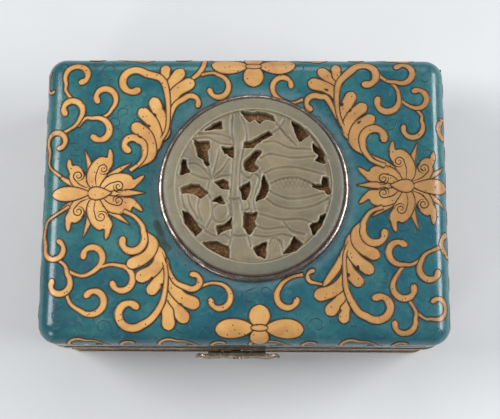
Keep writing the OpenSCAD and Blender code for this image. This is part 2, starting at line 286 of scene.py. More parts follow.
# ---------------------------------------------------------------- cloisonne pattern
class Pattern:
    """Cells of coloured enamel and the wires round them, laid on one surface."""

    def __init__(self, surface):
        self.surface = surface
        self.cells = Sheet()
        self.wires = Sheet()
        self.wire_points = []

    def wire(self, line, width=WIRE_W, level=0, closed=False, end_w=1.0):
        """One strip of wire along a line in the surface's own plane."""
        n = normals(line, closed)
        taper = np.ones(len(line))
        if not closed and end_w < 1:
            s = lengths(line)
            taper = end_w + (1 - end_w) * smoothstep(0, 1.2, np.minimum(s, s[-1] - s))
        across = ((-0.5, 0), (-0.25, 1), (0.25, 1), (0.5, 0))
        strips = []
        for a, up in across:
            flat = line + n * (a * width * taper)[:, None]
            rise = level * LEVEL_STEP + FILL_RISE * 0.5 + up * (WIRE_RISE - FILL_RISE * 0.5)
            strips.append(self.surface(flat, np.full(len(line), rise)))
        self.wires.grid(np.stack(strips, 1)[:, ::-1], 0, closed)
        self.wire_points.append(strips[1])

    def cell(self, line, half, level=0, across=7, wired=True):
        """A cell with its middle along a line and half its width given at each point."""
        n = normals(line)
        edge = np.linspace(-1, 1, across)
        strips, marks = [], []
        for a in edge:
            flat = line + n * (a * half)[:, None]
            rise = level * LEVEL_STEP + FILL_RISE + FILL_DOME * (1 - a * a)
            strips.append(self.surface(flat, np.full(len(line), rise)))
            marks.append((1 - abs(a)) * half)
        self.cells.grid(np.stack(strips, 1)[:, ::-1], np.stack(marks, 1)[:, ::-1])
        if wired:
            outline = np.vstack([line + n * half[:, None], (line - n * half[:, None])[-2:0:-1]])
            self.wire(outline, level=level, closed=True)

    def drop(self, at, angle, length=1.1, half=0.22, level=2):
        """Small filled drop of dark enamel, pointed at its root."""
        t = np.linspace(0, 1, 12)
        line = np.array(at) + np.outer(t * length, unit(angle))
        n = normals(line)
        width = half * beta(t, 1.0, 0.5)
        rise = level * LEVEL_STEP + WIRE_RISE
        strips = [self.surface(line + n * (a * width)[:, None], np.full(len(t), rise)) for a in (-1, 0, 1)]
        self.wires.grid(np.stack(strips, 1)[:, ::-1], 0)

    def stroke(self, line, profile, cap, level=0, across=7, step=0.24):
        """A cell along a line, with its half width from a function of distance and length."""
        length = lengths(line)[-1]
        s = stations(length, cap, step)
        self.cell(resample(line, s), profile(s, length), level, across)

    def scroll(self, path, eye, radius, start, sweep, close=0.45, w=0.5, level=0):
        """A scroll that runs along its path and then curls up round its eye. The path's first point is
        its root, which lies under the stroke that it springs from."""
        curl = spiral(eye, radius, start, sweep, close)
        first = curl[0]
        before = np.array(path[-2] if len(path) > 1 else path[-1], float)
        last = np.array(path[-1], float)
        gap = np.hypot(*(first - last))
        heading = unit(start + math.copysign(90, sweep))
        leave = (first - before) / 6 if len(path) > 1 else (first - last) / 3
        stem = bezier(last, last + leave, first - heading * gap * 0.38, first)
        line = np.vstack([stem[:-1], curl])
        if len(path) > 1:
            line = np.vstack([spline([*path, first])[:-14], line[1:]])

        def half(s, length):
            t = s / length
            body = w * (0.55 + 0.53 * smoothstep(0.1, 0.65, t)) + 0.08 * np.exp(-s / 0.5)
            waist = 1 - 0.2 * np.exp(-(((length - s) - 3.2 * w) / (1.1 * w)) ** 2)
            cap = np.sqrt(np.clip(1 - ((s - length + w) / w).clip(0, 1) ** 2, 0, 1))
            return body * waist * cap + LEAST_HALF

        self.stroke(line, half, w, level, across=5)

    def club(self, path, half, level=0, neck=0.12):
        """A leaf with a round head. The path runs from its root to the middle of its head."""
        line = spline(path)
        ahead = line[-1] - line[-2]
        line = np.vstack([line, line[-1] + ahead * half / np.hypot(*ahead)])

        def profile(s, length):
            body = neck + (0.9 - neck) * smoothstep(0, 0.38 * length, s)
            body = body + 0.1 * smoothstep(0.5 * length, length - half, s)
            cap = np.sqrt(np.clip(1 - ((s - length + half) / half).clip(0, 1) ** 2, 0, 1))
            return half * body * cap + LEAST_HALF

        self.stroke(line, profile, half, level)

    def lobe(self, line, half, a=0.9, b=0.5, level=0, across=7):
        """A petal or leaf along a line, with root and tip powers as in beta()."""
        line = spline(line) if len(line) > 2 else np.linspace(line[0], line[1], 24)

        def profile(s, length):
            return half * beta(s / length, a, b) + LEAST_HALF

        self.stroke(line, profile, min(half, 0.9), level, across)

    def curl_wire(self, eye, radius, start, sweep, lead=(), close=0.15, width=THIN_WIRE_W, level=0):
        """A bare wire: leading points, then a spiral."""
        line = spiral(eye, radius, start, sweep, close, 40)
        if len(lead):
            line = np.vstack([spline([*lead, line[0]])[:-1], line])
        s = np.linspace(0, lengths(line)[-1], max(12, int(lengths(line)[-1] / 0.16)))
        self.wire(resample(line, s), width, level, end_w=0.3)

    def line_wire(self, points, width=THIN_WIRE_W, level=0):
        line = spline(points)
        s = np.linspace(0, lengths(line)[-1], max(8, int(lengths(line)[-1] / 0.2)))
        self.wire(resample(line, s), width, level, end_w=0.3)


def flame_petal(pattern, line, half, level=1):
    """Lotus petal with a broad shoulder and a flame-like tip."""

    def profile(s, length):
        t = s / length
        belly = half * beta(t / 0.8, 0.62, 0.5)
        flame = 0.52 * smoothstep(0.2, 0.6, t) * np.sqrt(np.clip(1 - ((t - 0.7) / 0.3).clip(0, 1) ** 2, 0, 1))
        return np.maximum(belly, flame) + LEAST_HALF

    pattern.stroke(spline(line), profile, 0.5, level)


# Lotus leaves and petals about its heart, which points along x
LOTUS_LEAVES = (
    ((-1.3, 2.4), (-1.7, 4.65), (-2.4, 6.9), 0.45),
    ((-1.2, -2.4), (-1.5, -4.6), (-2.2, -6.9), 0.45),
    ((-2.8, 0.9), (-5.4, 2.1), (-6.9, 3.3), 0.45),
    ((-2.8, -0.9), (-5.4, -2.4), (-6.9, -3.6), 0.45),
    ((1.3, 0.1), (4.4, 0.12), (7.2, 0.1), 0.6),
    ((1.0, 2.4), (3.2, 3.9), (4.9, 4.9), 0.46),
    ((1.0, -2.4), (3.2, -3.7), (4.9, -4.9), 0.46),
)
# First radius of the curls in the petals, and how far their stalks bow outwards
CURL_R = 0.8
CURL_BOW = 0.3
# Each petal: its middle line, half width, and the eye of its curl
LOTUS_PETALS = (
    ((-1.2, 0.4), (-3.1, 1.9), (-3.9, 3.5), (-4.7, 4.2), (-4.9, 5.5), 1.3, (-3.35, 2.8)),
    ((-0.6, 0.4), (-0.7, 2.4), (0.2, 4.3), (1.5, 5.5), (1.5, 7.2), 1.55, (0.55, 3.9)),
    ((0.0, 0.4), (2.0, 1.65), (3.9, 1.9), (5.4, 1.7), (7.0, 2.9), 1.4, (3.05, 1.15)),
    ((0.0, -0.4), (2.0, -1.65), (3.9, -1.9), (5.4, -1.6), (6.9, -2.8), 1.4, (3.05, -1.15)),
    ((-0.6, -0.4), (-0.5, -2.4), (0.4, -4.3), (1.5, -5.4), (1.3, -7.3), 1.55, (0.4, -3.7)),
    ((-1.2, -0.4), (-2.9, -1.9), (-3.7, -3.5), (-4.6, -4.4), (-4.6, -6.1), 1.3, (-3.15, -2.9)),
)


def lotus(pattern, centre, flip=1, turn=0.0):
    """Lotus flower seen from the side, its teardrop heart pointing to the roundel when flip is 1."""
    cos, sin = unit(turn)

    def at(x, y):
        return np.array([centre[0] + flip * (x * cos - y * sin), centre[1] + x * sin + y * cos])

    def way(angle):
        return angle + turn if flip > 0 else 180 - angle - turn

    for a, b, c, half in LOTUS_LEAVES:
        pattern.lobe([at(*a), at(*b), at(*c)], half, 0.4, 0.9, level=0, across=5)
    for k, (*line, half, eye) in enumerate(LOTUS_PETALS):
        flame_petal(pattern, [at(*p) for p in line], half, level=1 + (k in (1, 4)))
        side = -1 if k < 3 else 1
        outward = np.array(line[2]) - np.array(line[0])
        heading = math.degrees(math.atan2(outward[1], outward[0]))
        root = np.array(line[0]) + (np.array(eye) - line[0]) * 0.15
        outer = np.array(unit(heading - 90 * side))
        bow = (root + eye + CURL_R * outer) / 2 + CURL_BOW * outer
        turn_way = flip * side
        pattern.curl_wire(at(*eye), CURL_R, way(heading - 90 * side), 520 * turn_way, (at(*root), at(*bow)),
                          0.12, WIRE_W * 0.9, 3)
        pattern.curl_wire(at(*eye), CURL_R * 1.28, way(heading + 72 * side), 148 * turn_way, (),
                          0.74, WIRE_W * 0.9, 3)
    pattern.lobe([at(-1.2, 0.05), at(-4.4, -0.1), at(-7.3, -0.3)], 1.2, 0.9, 0.55, level=3)
    pattern.lobe([at(2.0, 0.1), at(0.2, 0.0), at(-1.7, 0.0)], 1.05, 1.0, 0.5, level=4)


# Every row below: the points that a stroke runs through from its root; for a scroll, then its eye,
# the spiral's first radius, first angle, sweep, share of the radius at its end, half width and level
UPPER_LEFT_SCROLLS = (
    (((-27.6, 15.5), (-28.7, 17.1)), (-26.6, 19.4), 2.36, 205, -300, 0.36, 0.5, 1),
    (((-29.0, 9.9), (-26.9, 11.3)), (-27.7, 13.8), 1.94, -28, 262, 0.5, 0.5, 3),
    (((-23.4, 12.3), (-21.8, 13.2)), (-22.6, 15.8), 2.16, -42, 272, 0.42, 0.5, 0),
    (((-26.6, 11.2), (-25.3, 12.5)), (-23.3, 10.3), 2.34, 108, -262, 0.42, 0.52, 1),
    (((-28.9, 2.9), (-30.9, 4.8)), (-29.7, 8.6), 1.76, 212, -300, 0.62, 0.42, 4),
    (((-7.0, 19.8), (-5.2, 20.1)), (-4.5, 17.6), 2.1, 75, -255, 0.55, 0.46, 0),
    (((-13.4, 8.7), (-12.4, 10.6), (-12.2, 13.2), (-12.5, 16.7), (-13.5, 19.1)),
     (-17.8, 18.3), 2.36, 55, 265, 0.5, 0.58, 3),
    (((-13.0, 9.2), (-12.2, 10.9), (-11.8, 13.0), (-11.1, 14.8)), (-8.4, 14.9), 1.5, 130, -170, 0.5, 0.44, 2),
    (((-18.0, 4.0), (-16.5, 5.2), (-15.8, 6.6), (-16.0, 8.3)), (-18.0, 8.0), 1.44, 45, 230, 0.5, 0.56, 5),
)
UPPER_LEFT_CLUBS = (
    (((-16.6, 4.5), (-15.1, 5.9), (-14.8, 7.4), (-15.4, 9.5), (-17.1, 10.9)), 1.0, 4),
    (((-15.3, 6.0), (-14.0, 7.9), (-14.0, 9.9), (-14.7, 11.8), (-16.1, 13.3)), 1.0, 3),
    (((-14.0, 8.0), (-12.7, 9.7), (-12.9, 11.6), (-13.6, 13.2), (-14.4, 15.0)), 1.0, 2),
    (((-12.9, 18.5), (-12.8, 20.6)), 0.85, 2),
    (((-12.2, 16.3), (-11.8, 18.2), (-10.6, 19.9)), 1.0, 0),
    (((-11.9, 13.6), (-11.7, 15.7), (-10.8, 17.1), (-9.1, 18.2)), 1.05, 1),
)
LOWER_LEFT_SCROLLS = (
    (((-27.6, -14.6), (-26.6, -17.0)), (-23.3, -16.4), 2.36, -125, 290, 0.42, 0.52, 0),
    (((-27.2, -12.0), (-25.1, -12.7), (-23.6, -12.2)), (-23.8, -9.7), 2.1, -55, 258, 0.46, 0.5, 0),
    (((-29.5, -9.8), (-27.7, -11.1)), (-28.6, -14.0), 1.96, 40, -265, 0.5, 0.5, 2),
    (((-27.4, -1.8), (-29.3, -3.1), (-30.9, -4.3), (-31.4, -6.5)),
     (-29.5, -8.6), 1.6, 170, 265, 0.9, 0.42, 3),
    (((-22.3, -11.3), (-20.5, -10.9)), (-19.1, -13.4), 2.3, 85, -265, 0.48, 0.5, 0),
    (((-18.8, -2.5), (-17.1, -3.4), (-15.9, -4.8)), (-17.7, -7.1), 2.36, 25, -235, 0.42, 0.56, 5),
    (((-6.7, -14.2), (-5.0, -13.7)), (-4.0, -16.1), 2.3, 75, -260, 0.44, 0.46, 0),
    (((-13.0, -9.2), (-12.2, -11.0), (-12.0, -13.3), (-12.5, -16.6), (-14.0, -19.1)),
     (-17.3, -18.3), 2.5, -60, -275, 0.42, 0.58, 3),
    (((-12.6, -9.4), (-11.9, -10.9), (-11.3, -12.4), (-10.4, -13.7)),
     (-7.9, -13.3), 1.4, -115, 235, 0.6, 0.46, 2),
)
LOWER_LEFT_CLUBS = (
    (((-15.7, -5.4), (-14.2, -7.2), (-14.4, -8.7), (-15.5, -9.9), (-17.2, -10.7)), 0.95, 4),
    (((-14.3, -7.2), (-13.1, -8.9), (-13.2, -10.6), (-14.2, -11.9), (-15.7, -12.7)), 1.05, 3),
    (((-13.4, -8.5), (-12.4, -10.2), (-12.4, -11.8), (-13.1, -13.3), (-14.1, -14.7)), 0.95, 2),
    (((-11.8, -16.4), (-11.5, -19.9)), 1.05, 2),
    (((-11.6, -14.2), (-11.0, -16.8), (-9.3, -18.9)), 1.05, 0),
    (((-11.5, -12.0), (-10.9, -14.3), (-9.5, -16.0), (-7.8, -16.8)), 1.05, 1),
)
UPPER_RIGHT_SCROLLS = (
    (((21.2, 19.8), (22.7, 18.8)), (25.1, 20.3), 1.9, -110, 265, 0.62, 0.5, 2),
    (((23.5, 18.5), (24.3, 17.2)), (22.3, 15.5), 2.24, 10, -225, 0.48, 0.52, 1),
    (((24.2, 16.2), (25.7, 14.9)), (27.4, 16.0), 1.7, -105, 235, 0.72, 0.44, 0),
    (((26.7, 14.6), (28.0, 13.2)), (26.3, 11.1), 2.0, 30, -235, 0.55, 0.5, -1),
    (((22.0, 4.9), (20.0, 5.8), (18.8, 7.4)), (20.8, 9.2), 2.3, 190, -215, 0.42, 0.6, 5),
    (((9.2, 15.7), (7.5, 15.2), (5.8, 15.7)), (6.2, 17.9), 2.0, 220, -240, 0.5, 0.44, 0),
    (((16.0, 10.3), (15.1, 12.2), (14.7, 13.9), (14.6, 16.4), (15.1, 18.7)),
     (19.2, 19.4), 2.36, 135, -255, 0.42, 0.58, 3),
    (((15.8, 10.3), (14.8, 12.3), (13.9, 14.3), (12.9, 16.0)), (10.9, 14.9), 1.56, 60, 200, 0.5, 0.46, 2),
)
UPPER_RIGHT_CLUBS = (
    (((19.3, 6.3), (17.7, 7.9), (17.2, 9.4), (17.8, 11.1), (19.7, 12.4)), 0.95, 4),
    (((17.7, 8.1), (16.3, 10.0), (16.3, 11.7), (17.1, 13.1), (18.5, 14.3)), 0.95, 3),
    (((16.6, 9.7), (15.5, 11.7), (15.6, 13.3), (16.0, 14.5), (16.8, 16.1)), 0.95, 2),
    (((14.7, 18.4), (14.5, 20.8)), 0.8, 2),
    (((14.5, 16.8), (13.9, 18.7), (12.4, 20.2)), 0.9, 0),
    (((14.3, 15.4), (13.8, 17.0), (12.7, 17.8), (11.0, 18.3)), 1.0, 1),
)
LOWER_RIGHT_SCROLLS = (
    (((21.5, -1.7), (19.6, -2.5), (18.5, -4.2)), (20.5, -5.7), 2.16, 160, 225, 0.52, 0.56, 5),
    (((9.1, -12.3), (7.4, -12.7), (6.0, -13.6)), (7.0, -15.9), 2.1, 150, 215, 0.5, 0.48, 0),
    (((24.9, -10.4), (23.5, -12.4)), (24.9, -14.3), 2.1, 165, 225, 0.5, 0.5, 1),
    (((27.4, -9.9), (25.8, -10.7)), (24.1, -8.6), 2.16, -80, -245, 0.52, 0.5, 2),
    (((30.2, -8.0), (28.0, -9.1)), (28.9, -11.6), 2.0, 155, 215, 0.42, 0.48, 3),
    (((25.3, -16.2), (26.3, -18.0)), (24.2, -19.7), 2.04, 10, -210, 0.5, 0.46, 0),
    (((26.1, -17.8), (27.7, -19.0)), (29.6, -17.2), 2.0, -110, 255, 0.5, 0.44, -1),
    (((16.5, -7.0), (15.6, -9.0), (15.5, -11.5), (15.8, -14.8), (17.4, -17.9)),
     (20.6, -17.0), 2.44, -125, 260, 0.44, 0.56, 3),
    (((12.5, -13.9), (10.9, -13.6)), (10.7, -12.6), 0.95, 235, -160, 0.9, 0.4, -1),
)
LOWER_RIGHT_CLUBS = (
    (((18.8, -3.5), (17.5, -5.4), (17.5, -7.2), (18.5, -8.3), (20.0, -9.1)), 0.98, 4),
    (((17.6, -4.9), (16.5, -6.6), (16.5, -8.4), (17.3, -9.9), (19.1, -11.4)), 0.98, 3),
    (((16.9, -6.5), (15.8, -8.5), (15.7, -10.3), (16.3, -11.9), (17.5, -13.3)), 0.95, 2),
    (((15.7, -16.2), (15.3, -18.9)), 0.88, 2),
    (((15.3, -13.2), (15.0, -15.9), (13.4, -17.7)), 1.02, 0),
    (((15.3, -11.6), (14.8, -13.8), (13.4, -14.9), (11.8, -15.4)), 1.05, 1),
)
EDGE_SCROLLS = (
    (((-31.6, 20.4), (-32.4, 18.8)), (-31.2, 18.0), 1.3, 175, 130, 0.8, 0.3, 0),
    (((33.0, 12.8), (31.4, 12.6)), (32.3, 10.9), 1.6, 110, 160, 0.8, 0.5, 0),
    (((33.4, -9.0), (32.0, -9.4)), (32.2, -7.2), 1.7, -110, -160, 0.7, 0.48, 0),
)
BACK_STEM = ((-8.6, 19.0), (-7.4, 20.1), (-6.7, 21.6), (-6.6, 24.2))
LONG_LEAF = ((16.3, -6.9), (15.5, -8.6), (14.4, -11.1), (12.2, -14.1))
# Where the drops of dark enamel sit in the sprays, and the way that each points
NOTCHES = (
    ((-13.1, 14.6), -80), ((-14.5, 13.4), -60), ((-15.6, 11.5), -35), ((-17.0, 9.5), -10),
    ((-12.7, -14.5), 85), ((-14.5, -13.4), 55), ((-15.5, -11.2), 35), ((-9.3, -17.3), 140),
    ((15.4, 15.3), -90), ((16.9, 14.3), -115), ((18.4, 12.2), -140), ((12.6, 17.5), -30),
    ((16.1, -12.8), 90), ((17.8, -11.5), 120), ((19.1, -9.8), 150), ((14.5, -18.3), 60),
)


def lid_scrolls(pattern):
    """The scrolls and sprays of the lid's four quarters."""
    for quarter in (UPPER_LEFT_SCROLLS, LOWER_LEFT_SCROLLS, UPPER_RIGHT_SCROLLS,
                    LOWER_RIGHT_SCROLLS, EDGE_SCROLLS):
        for row in quarter:
            pattern.scroll(*row)
    for quarter in (UPPER_LEFT_CLUBS, LOWER_LEFT_CLUBS, UPPER_RIGHT_CLUBS, LOWER_RIGHT_CLUBS):
        for path, half, level in quarter:
            pattern.club(path, half, level)
    pattern.lobe(BACK_STEM, 0.45, 0.2, 0.25, level=0, across=5)
    pattern.lobe(LONG_LEAF, 0.62, 0.7, 0.45, level=2)
    for at, angle in NOTCHES:
        pattern.drop(at, angle, 0.75, 0.17, level=6)


def edge_flower(pattern, x, y, outward):
    """Four-petalled flower that sits across the middle of a long edge."""
    for side in (-1, 1):
        pattern.lobe([(x + 0.8 * side, y), (x + 6.7 * side, y + 0.35 * outward)], 1.6, 0.7, 0.5, level=1)
    pattern.lobe([(x, y - 0.1 * outward), (x, y - 3.5 * outward)], 1.65, 0.5, 0.5, level=2)
    pattern.lobe([(x, y + 0.1 * outward), (x, y + 3.1 * outward)], 1.5, 0.5, 0.5, level=2)
    pattern.lobe([(x - 1.3, y), (x + 1.3, y)], 0.5, 0.5, 0.5, level=3)


# Each cloud spiral: its eye, first radius, first angle and sweep
CLOUDS = (
    ((-21.6, 20.6), 1.5, -120, -300), ((-20.6, 11.6), 1.2, 200, -330), ((-19.2, 13.4), 1.1, 200, -300),
    ((-26.8, 7.6), 0.9, 120, -260), ((-29.5, 21.2), 0.9, 0, 280), ((-10.9, 16.6), 0.6, 0, 300),
    ((-9.2, -20.4), 1.2, 200, 320), ((-21.6, -20.6), 1.3, 10, 300), ((-28.4, -19.0), 1.2, 100, 300),
    ((-25.6, -20.4), 0.8, 0, 300), ((8.8, 20.9), 1.0, 180, -300), ((22.6, 12.0), 0.8, 90, 280),
    ((28.6, 19.6), 1.2, 30, -320), ((29.0, 6.9), 0.8, 180, -300), ((11.2, -20.2), 1.4, 170, -320),
    ((21.4, -12.9), 1.1, 60, -280), ((29.6, -21.0), 0.7, 0, 260), ((27.0, -5.6), 0.8, 90, 300),
    ((4.6, 21.6), 0.7, 200, -260), ((1.0, -15.9), 1.2, 90, 300), ((3.2, -15.0), 0.8, 30, 280),
    ((16.6, -20.9), 0.9, 0, 300), ((-5.6, -21.2), 0.9, 180, -300), ((-24.0, 22.0), 0.8, 0, -300),
    ((21.2, -21.6), 0.9, 180, 280), ((-1.6, -22.0), 0.7, 0, 280), ((11.4, 12.6), 0.6, 0, 280),
)
CLOUD_LEAVES = (
    ((-21.4, 11.2), (-19.2, 8.6)), ((-27.4, 6.4), (-25.6, 5.4)),
    ((24.2, 12.6), (22.0, 10.6)), ((25.6, -5.2), (23.4, -4.6)),
)
CLOUD_W = 0.17


def cloud_wires(pattern):
    """Faint wire spirals that fill the bare ground."""
    for eye, radius, start, sweep in CLOUDS:
        lead = np.array(eye) + unit(start - math.copysign(35, sweep)) * radius * 1.7
        pattern.curl_wire(eye, radius, start, sweep, (lead,), 0.25, CLOUD_W, -0.3)
    for a, b in CLOUD_LEAVES:
        a, b = np.array(a), np.array(b)
        d = b - a
        side = np.array([-d[1], d[0]]) * 0.25
        for sign in (-1, 1):
            pattern.line_wire([a, (a + b) / 2 + side * sign, b], CLOUD_W, -0.3)


# Length of one pair of wall scrolls, and the height that their sizes are given for
ROW_PITCH = 12.0
ROW_TALL = 4.6


def wall_scrolls(pattern, first, last, mid, size, up):
    """Row of paired scrolls between two places round the box, about size millimetres tall. up is 1 where
    the row's second number grows upwards, and -1 where it grows downwards."""
    count = max(1, round((last - first) / ROW_PITCH))
    pitch = (last - first) / count
    k = size / ROW_TALL
    for n in range(count):
        x = first + n * pitch

        def at(across, rise):
            return (x + across * pitch / ROW_PITCH, mid + rise * up * k)

        pattern.scroll([at(6.3, -0.9), at(4.6, 1.3)], at(2.0, -0.2),
                       2.3 * k, 62 * up, 240 * up, 0.55, 0.34 * k + 0.04, 0)
        pattern.scroll([at(12.2, -1.9), at(10.6, -2.1)], at(8.9, -0.2),
                       2.1 * k, -75 * up, -245 * up, 0.6, 0.36 * k + 0.04, 1)
        pattern.scroll([at(3.4, -2.1)], at(4.6, -0.9), 0.8 * k, -100 * up, 220 * up, 0.6, 0.26 * k, 1)


def side_starts():
    """Distance round the box at which each side starts and ends."""
    ends = np.cumsum((0,) + SIDE_LENGTHS)
    return [(ends[2 * k], ends[2 * k + 1]) for k in range(4)]


LID_ROW_DOWN = 4.1
LID_ROW_TALL = 3.5


def lid_walls(pattern):
    for k, (a, b) in enumerate(side_starts()):
        if k % 2 == 0:
            middle = (a + b) / 2
            wall_scrolls(pattern, a + 1, middle, LID_ROW_DOWN, LID_ROW_TALL, -1)
            wall_scrolls(pattern, middle, b - 1, LID_ROW_DOWN, LID_ROW_TALL, -1)
        else:
            wall_scrolls(pattern, a - 1, b + 1, LID_ROW_DOWN + 1.2, LID_ROW_TALL, -1)


def base_walls(pattern):
    low, high = BASE_LOW[2], BASE_HIGH[2]
    mid = (low + high) / 2
    flower = 6.5
    for a, b in side_starts():
        middle = (a + b) / 2
        for s in (-1, 1):
            pattern.lobe([(middle + 1.0 * s, mid), (middle + 5.6 * s, mid + 0.2)], 1.3, 0.8, 0.6, level=1)
            pattern.lobe([(middle, mid + 0.5 * s), (middle, mid + 3.6 * s)], 1.3, 0.7, 0.5, level=2)
        pattern.lobe([(middle - 1.0, mid), (middle + 1.0, mid)], 0.8, 0.5, 0.5, level=3)
        for y, up in ((mid + 2.3, 1), (mid - 2.5, -1)):
            wall_scrolls(pattern, a - 1, middle - flower, y, 4.2, up)
            wall_scrolls(pattern, middle + flower, b + 1, y, 4.2, up)


def gather(into, other):
    """Adds one pattern's cells and wires to another's."""
    for part in ("cells", "wires"):
        a, b = getattr(into, part), getattr(other, part)
        a.faces += [f + a.count for f in b.faces]
        a.points += b.points
        a.marks += b.marks
        a.count += b.count
    into.wire_points += other.wire_points


def lid_pattern():
    top = Pattern(lid_top_map)
    lid_scrolls(top)
    lotus(top, (-22.8, 0.3), 1)
    lotus(top, (24.8, 1.7), -1)
    edge_flower(top, 1.3, 21.3, 1)
    edge_flower(top, 2.4, -20.5, -1)
    sides = Pattern(lid_side_map)
    lid_walls(sides)
    gather(top, sides)
    return top


def lid_clouds():
    clouds = Pattern(lid_top_map)
    cloud_wires(clouds)
    return clouds


# ---------------------------------------------------------------- ground enamel
GRID = 0.3
HALO_FAR = 1.5
# Line along which the enamel has worn away beside the bezel
CHIP = ((-13.7, -4.4), (-13.1, -5.9), (-12.7, -7.5), (-11.8, -8.3))


def wire_distance(points, wire_points):
    """Distance from each point to the nearest wire, up to HALO_FAR."""
    line = np.vstack(wire_points)
    tree = kdtree.KDTree(len(line))
    for k, p in enumerate(line):
        tree.insert(p, k)
    tree.balance()
    return np.array([min(tree.find(p)[2], HALO_FAR) for p in points])


def perimeter_samples():
    """Distances round the box, in step with the flat middle's grid."""
    out = []
    start = 0.0
    for k, length in enumerate(SIDE_LENGTHS):
        count = round(length / GRID) if k % 2 == 0 else 12
        out += list(start + length * np.arange(count) / count)
        start += length
    return np.array(out)


def lid_ground(material, wire_points):
    sheet = Sheet()
    u = np.linspace(-CORE_X, CORE_X, round(2 * CORE_X / GRID) + 1)
    v = np.linspace(-CORE_Y, CORE_Y, round(2 * CORE_Y / GRID) + 1)
    uv = np.stack(np.meshgrid(u, v, indexing="ij"), -1)
    flat = uv.reshape(-1, 2)
    core = lid_top_map(flat, np.zeros(len(flat))).reshape(*uv.shape[:2], 3)
    sheet.grid(core, 0)
    p = perimeter_samples()
    s = np.linspace(0, LID_SKIRT, round(LID_SKIRT / GRID))
    ps = np.stack(np.meshgrid(p, s, indexing="ij"), -1)
    flat = ps.reshape(-1, 2)
    band = lid_side_map(flat, np.zeros(len(flat))).reshape(*ps.shape[:2], 3)
    sheet.grid(band[:, ::-1], 0, closed=True)
    points = np.vstack(sheet.points)
    sheet.marks = [wire_distance(points, wire_points)]
    piece = sheet.build("lid_ground_enamel", "wire_mm", material, "lid", "teal_enamel", weld=0.002)
    from_bezel = [math.hypot(v.co.x / MM - STONE_XY[0], v.co.y / MM - STONE_XY[1]) - BEZEL_R
                  for v in piece.data.vertices]
    x = np.array([v.co.x for v in piece.data.vertices]) / MM
    y = np.array([v.co.y for v in piece.data.vertices]) / MM
    for name, values in (("bezel_mm", from_bezel), ("chip_mm", segment_distance(x, y, CHIP))):
        mark = piece.data.attributes.new(name, "FLOAT", "POINT")
        mark.data.foreach_set("value", values)
    cut_under_bezel(piece)
    thicken(piece, COAT_EDGE)
    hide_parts("lid_enamel")
    return piece


def cut_under_bezel(piece):
    """Opens the ground where the bezel and the stone stand."""
    work = bmesh.new()
    work.from_mesh(piece.data)
    inner = (BEZEL_R - BEZEL_LAP) * MM
    middle = Vector((STONE_XY[0] * MM, STONE_XY[1] * MM))
    gone = [f for f in work.faces
            if all((v.co.xy - middle).length < inner for v in f.verts) and f.calc_center_median().z > 0.02]
    bmesh.ops.delete(work, geom=gone, context="FACES")
    work.to_mesh(piece.data)
    work.free()


def thicken(piece, depth):
    """Turns the open edges of a coat inwards, so that it shows its thickness."""
    work = bmesh.new()
    work.from_mesh(piece.data)
    work.normal_update()
    edges = [e for e in work.edges if e.is_boundary]
    inward = {v: v.normal.copy() for e in edges for v in e.verts}
    new = bmesh.ops.extrude_edge_only(work, edges=edges)["geom"]
    moved = [v for v in new if isinstance(v, bmesh.types.BMVert)]
    tree = kdtree.KDTree(len(inward))
    rows = list(inward.items())
    for k, (vert, _) in enumerate(rows):
        tree.insert(vert.co, k)
    tree.balance()
    for vert in moved:
        vert.co -= rows[tree.find(vert.co)[1]][1] * depth * MM
    work.to_mesh(piece.data)
    work.free()


def base_ground(material, wire_points):
    sheet = Sheet()
    p = perimeter_samples()
    z = np.linspace(BASE_LOW[2], BASE_HIGH[2], round((BASE_HIGH[2] - BASE_LOW[2]) / GRID))
    pz = np.stack(np.meshgrid(p, z, indexing="ij"), -1)
    flat = pz.reshape(-1, 2)
    sheet.grid(base_side_map(flat, np.zeros(len(flat))).reshape(*pz.shape[:2], 3), 0, closed=True)
    sheet.marks = [wire_distance(sheet.points[0], wire_points)]
    piece = sheet.build("base_ground_enamel", "wire_mm", material, "base", "teal_enamel")
    thicken(piece, COAT_EDGE)
    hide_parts("base_enamel")
    return piece


# ---------------------------------------------------------------- carved stone
STONE_GRID = 0.11
FIELD_R = 12.05
FIELD_DEPTH = 0.52
PILLOW = 0.3
RING_CREST = 13.0
STONE_EDGE = 14.12
EDGE_DROP = 0.75
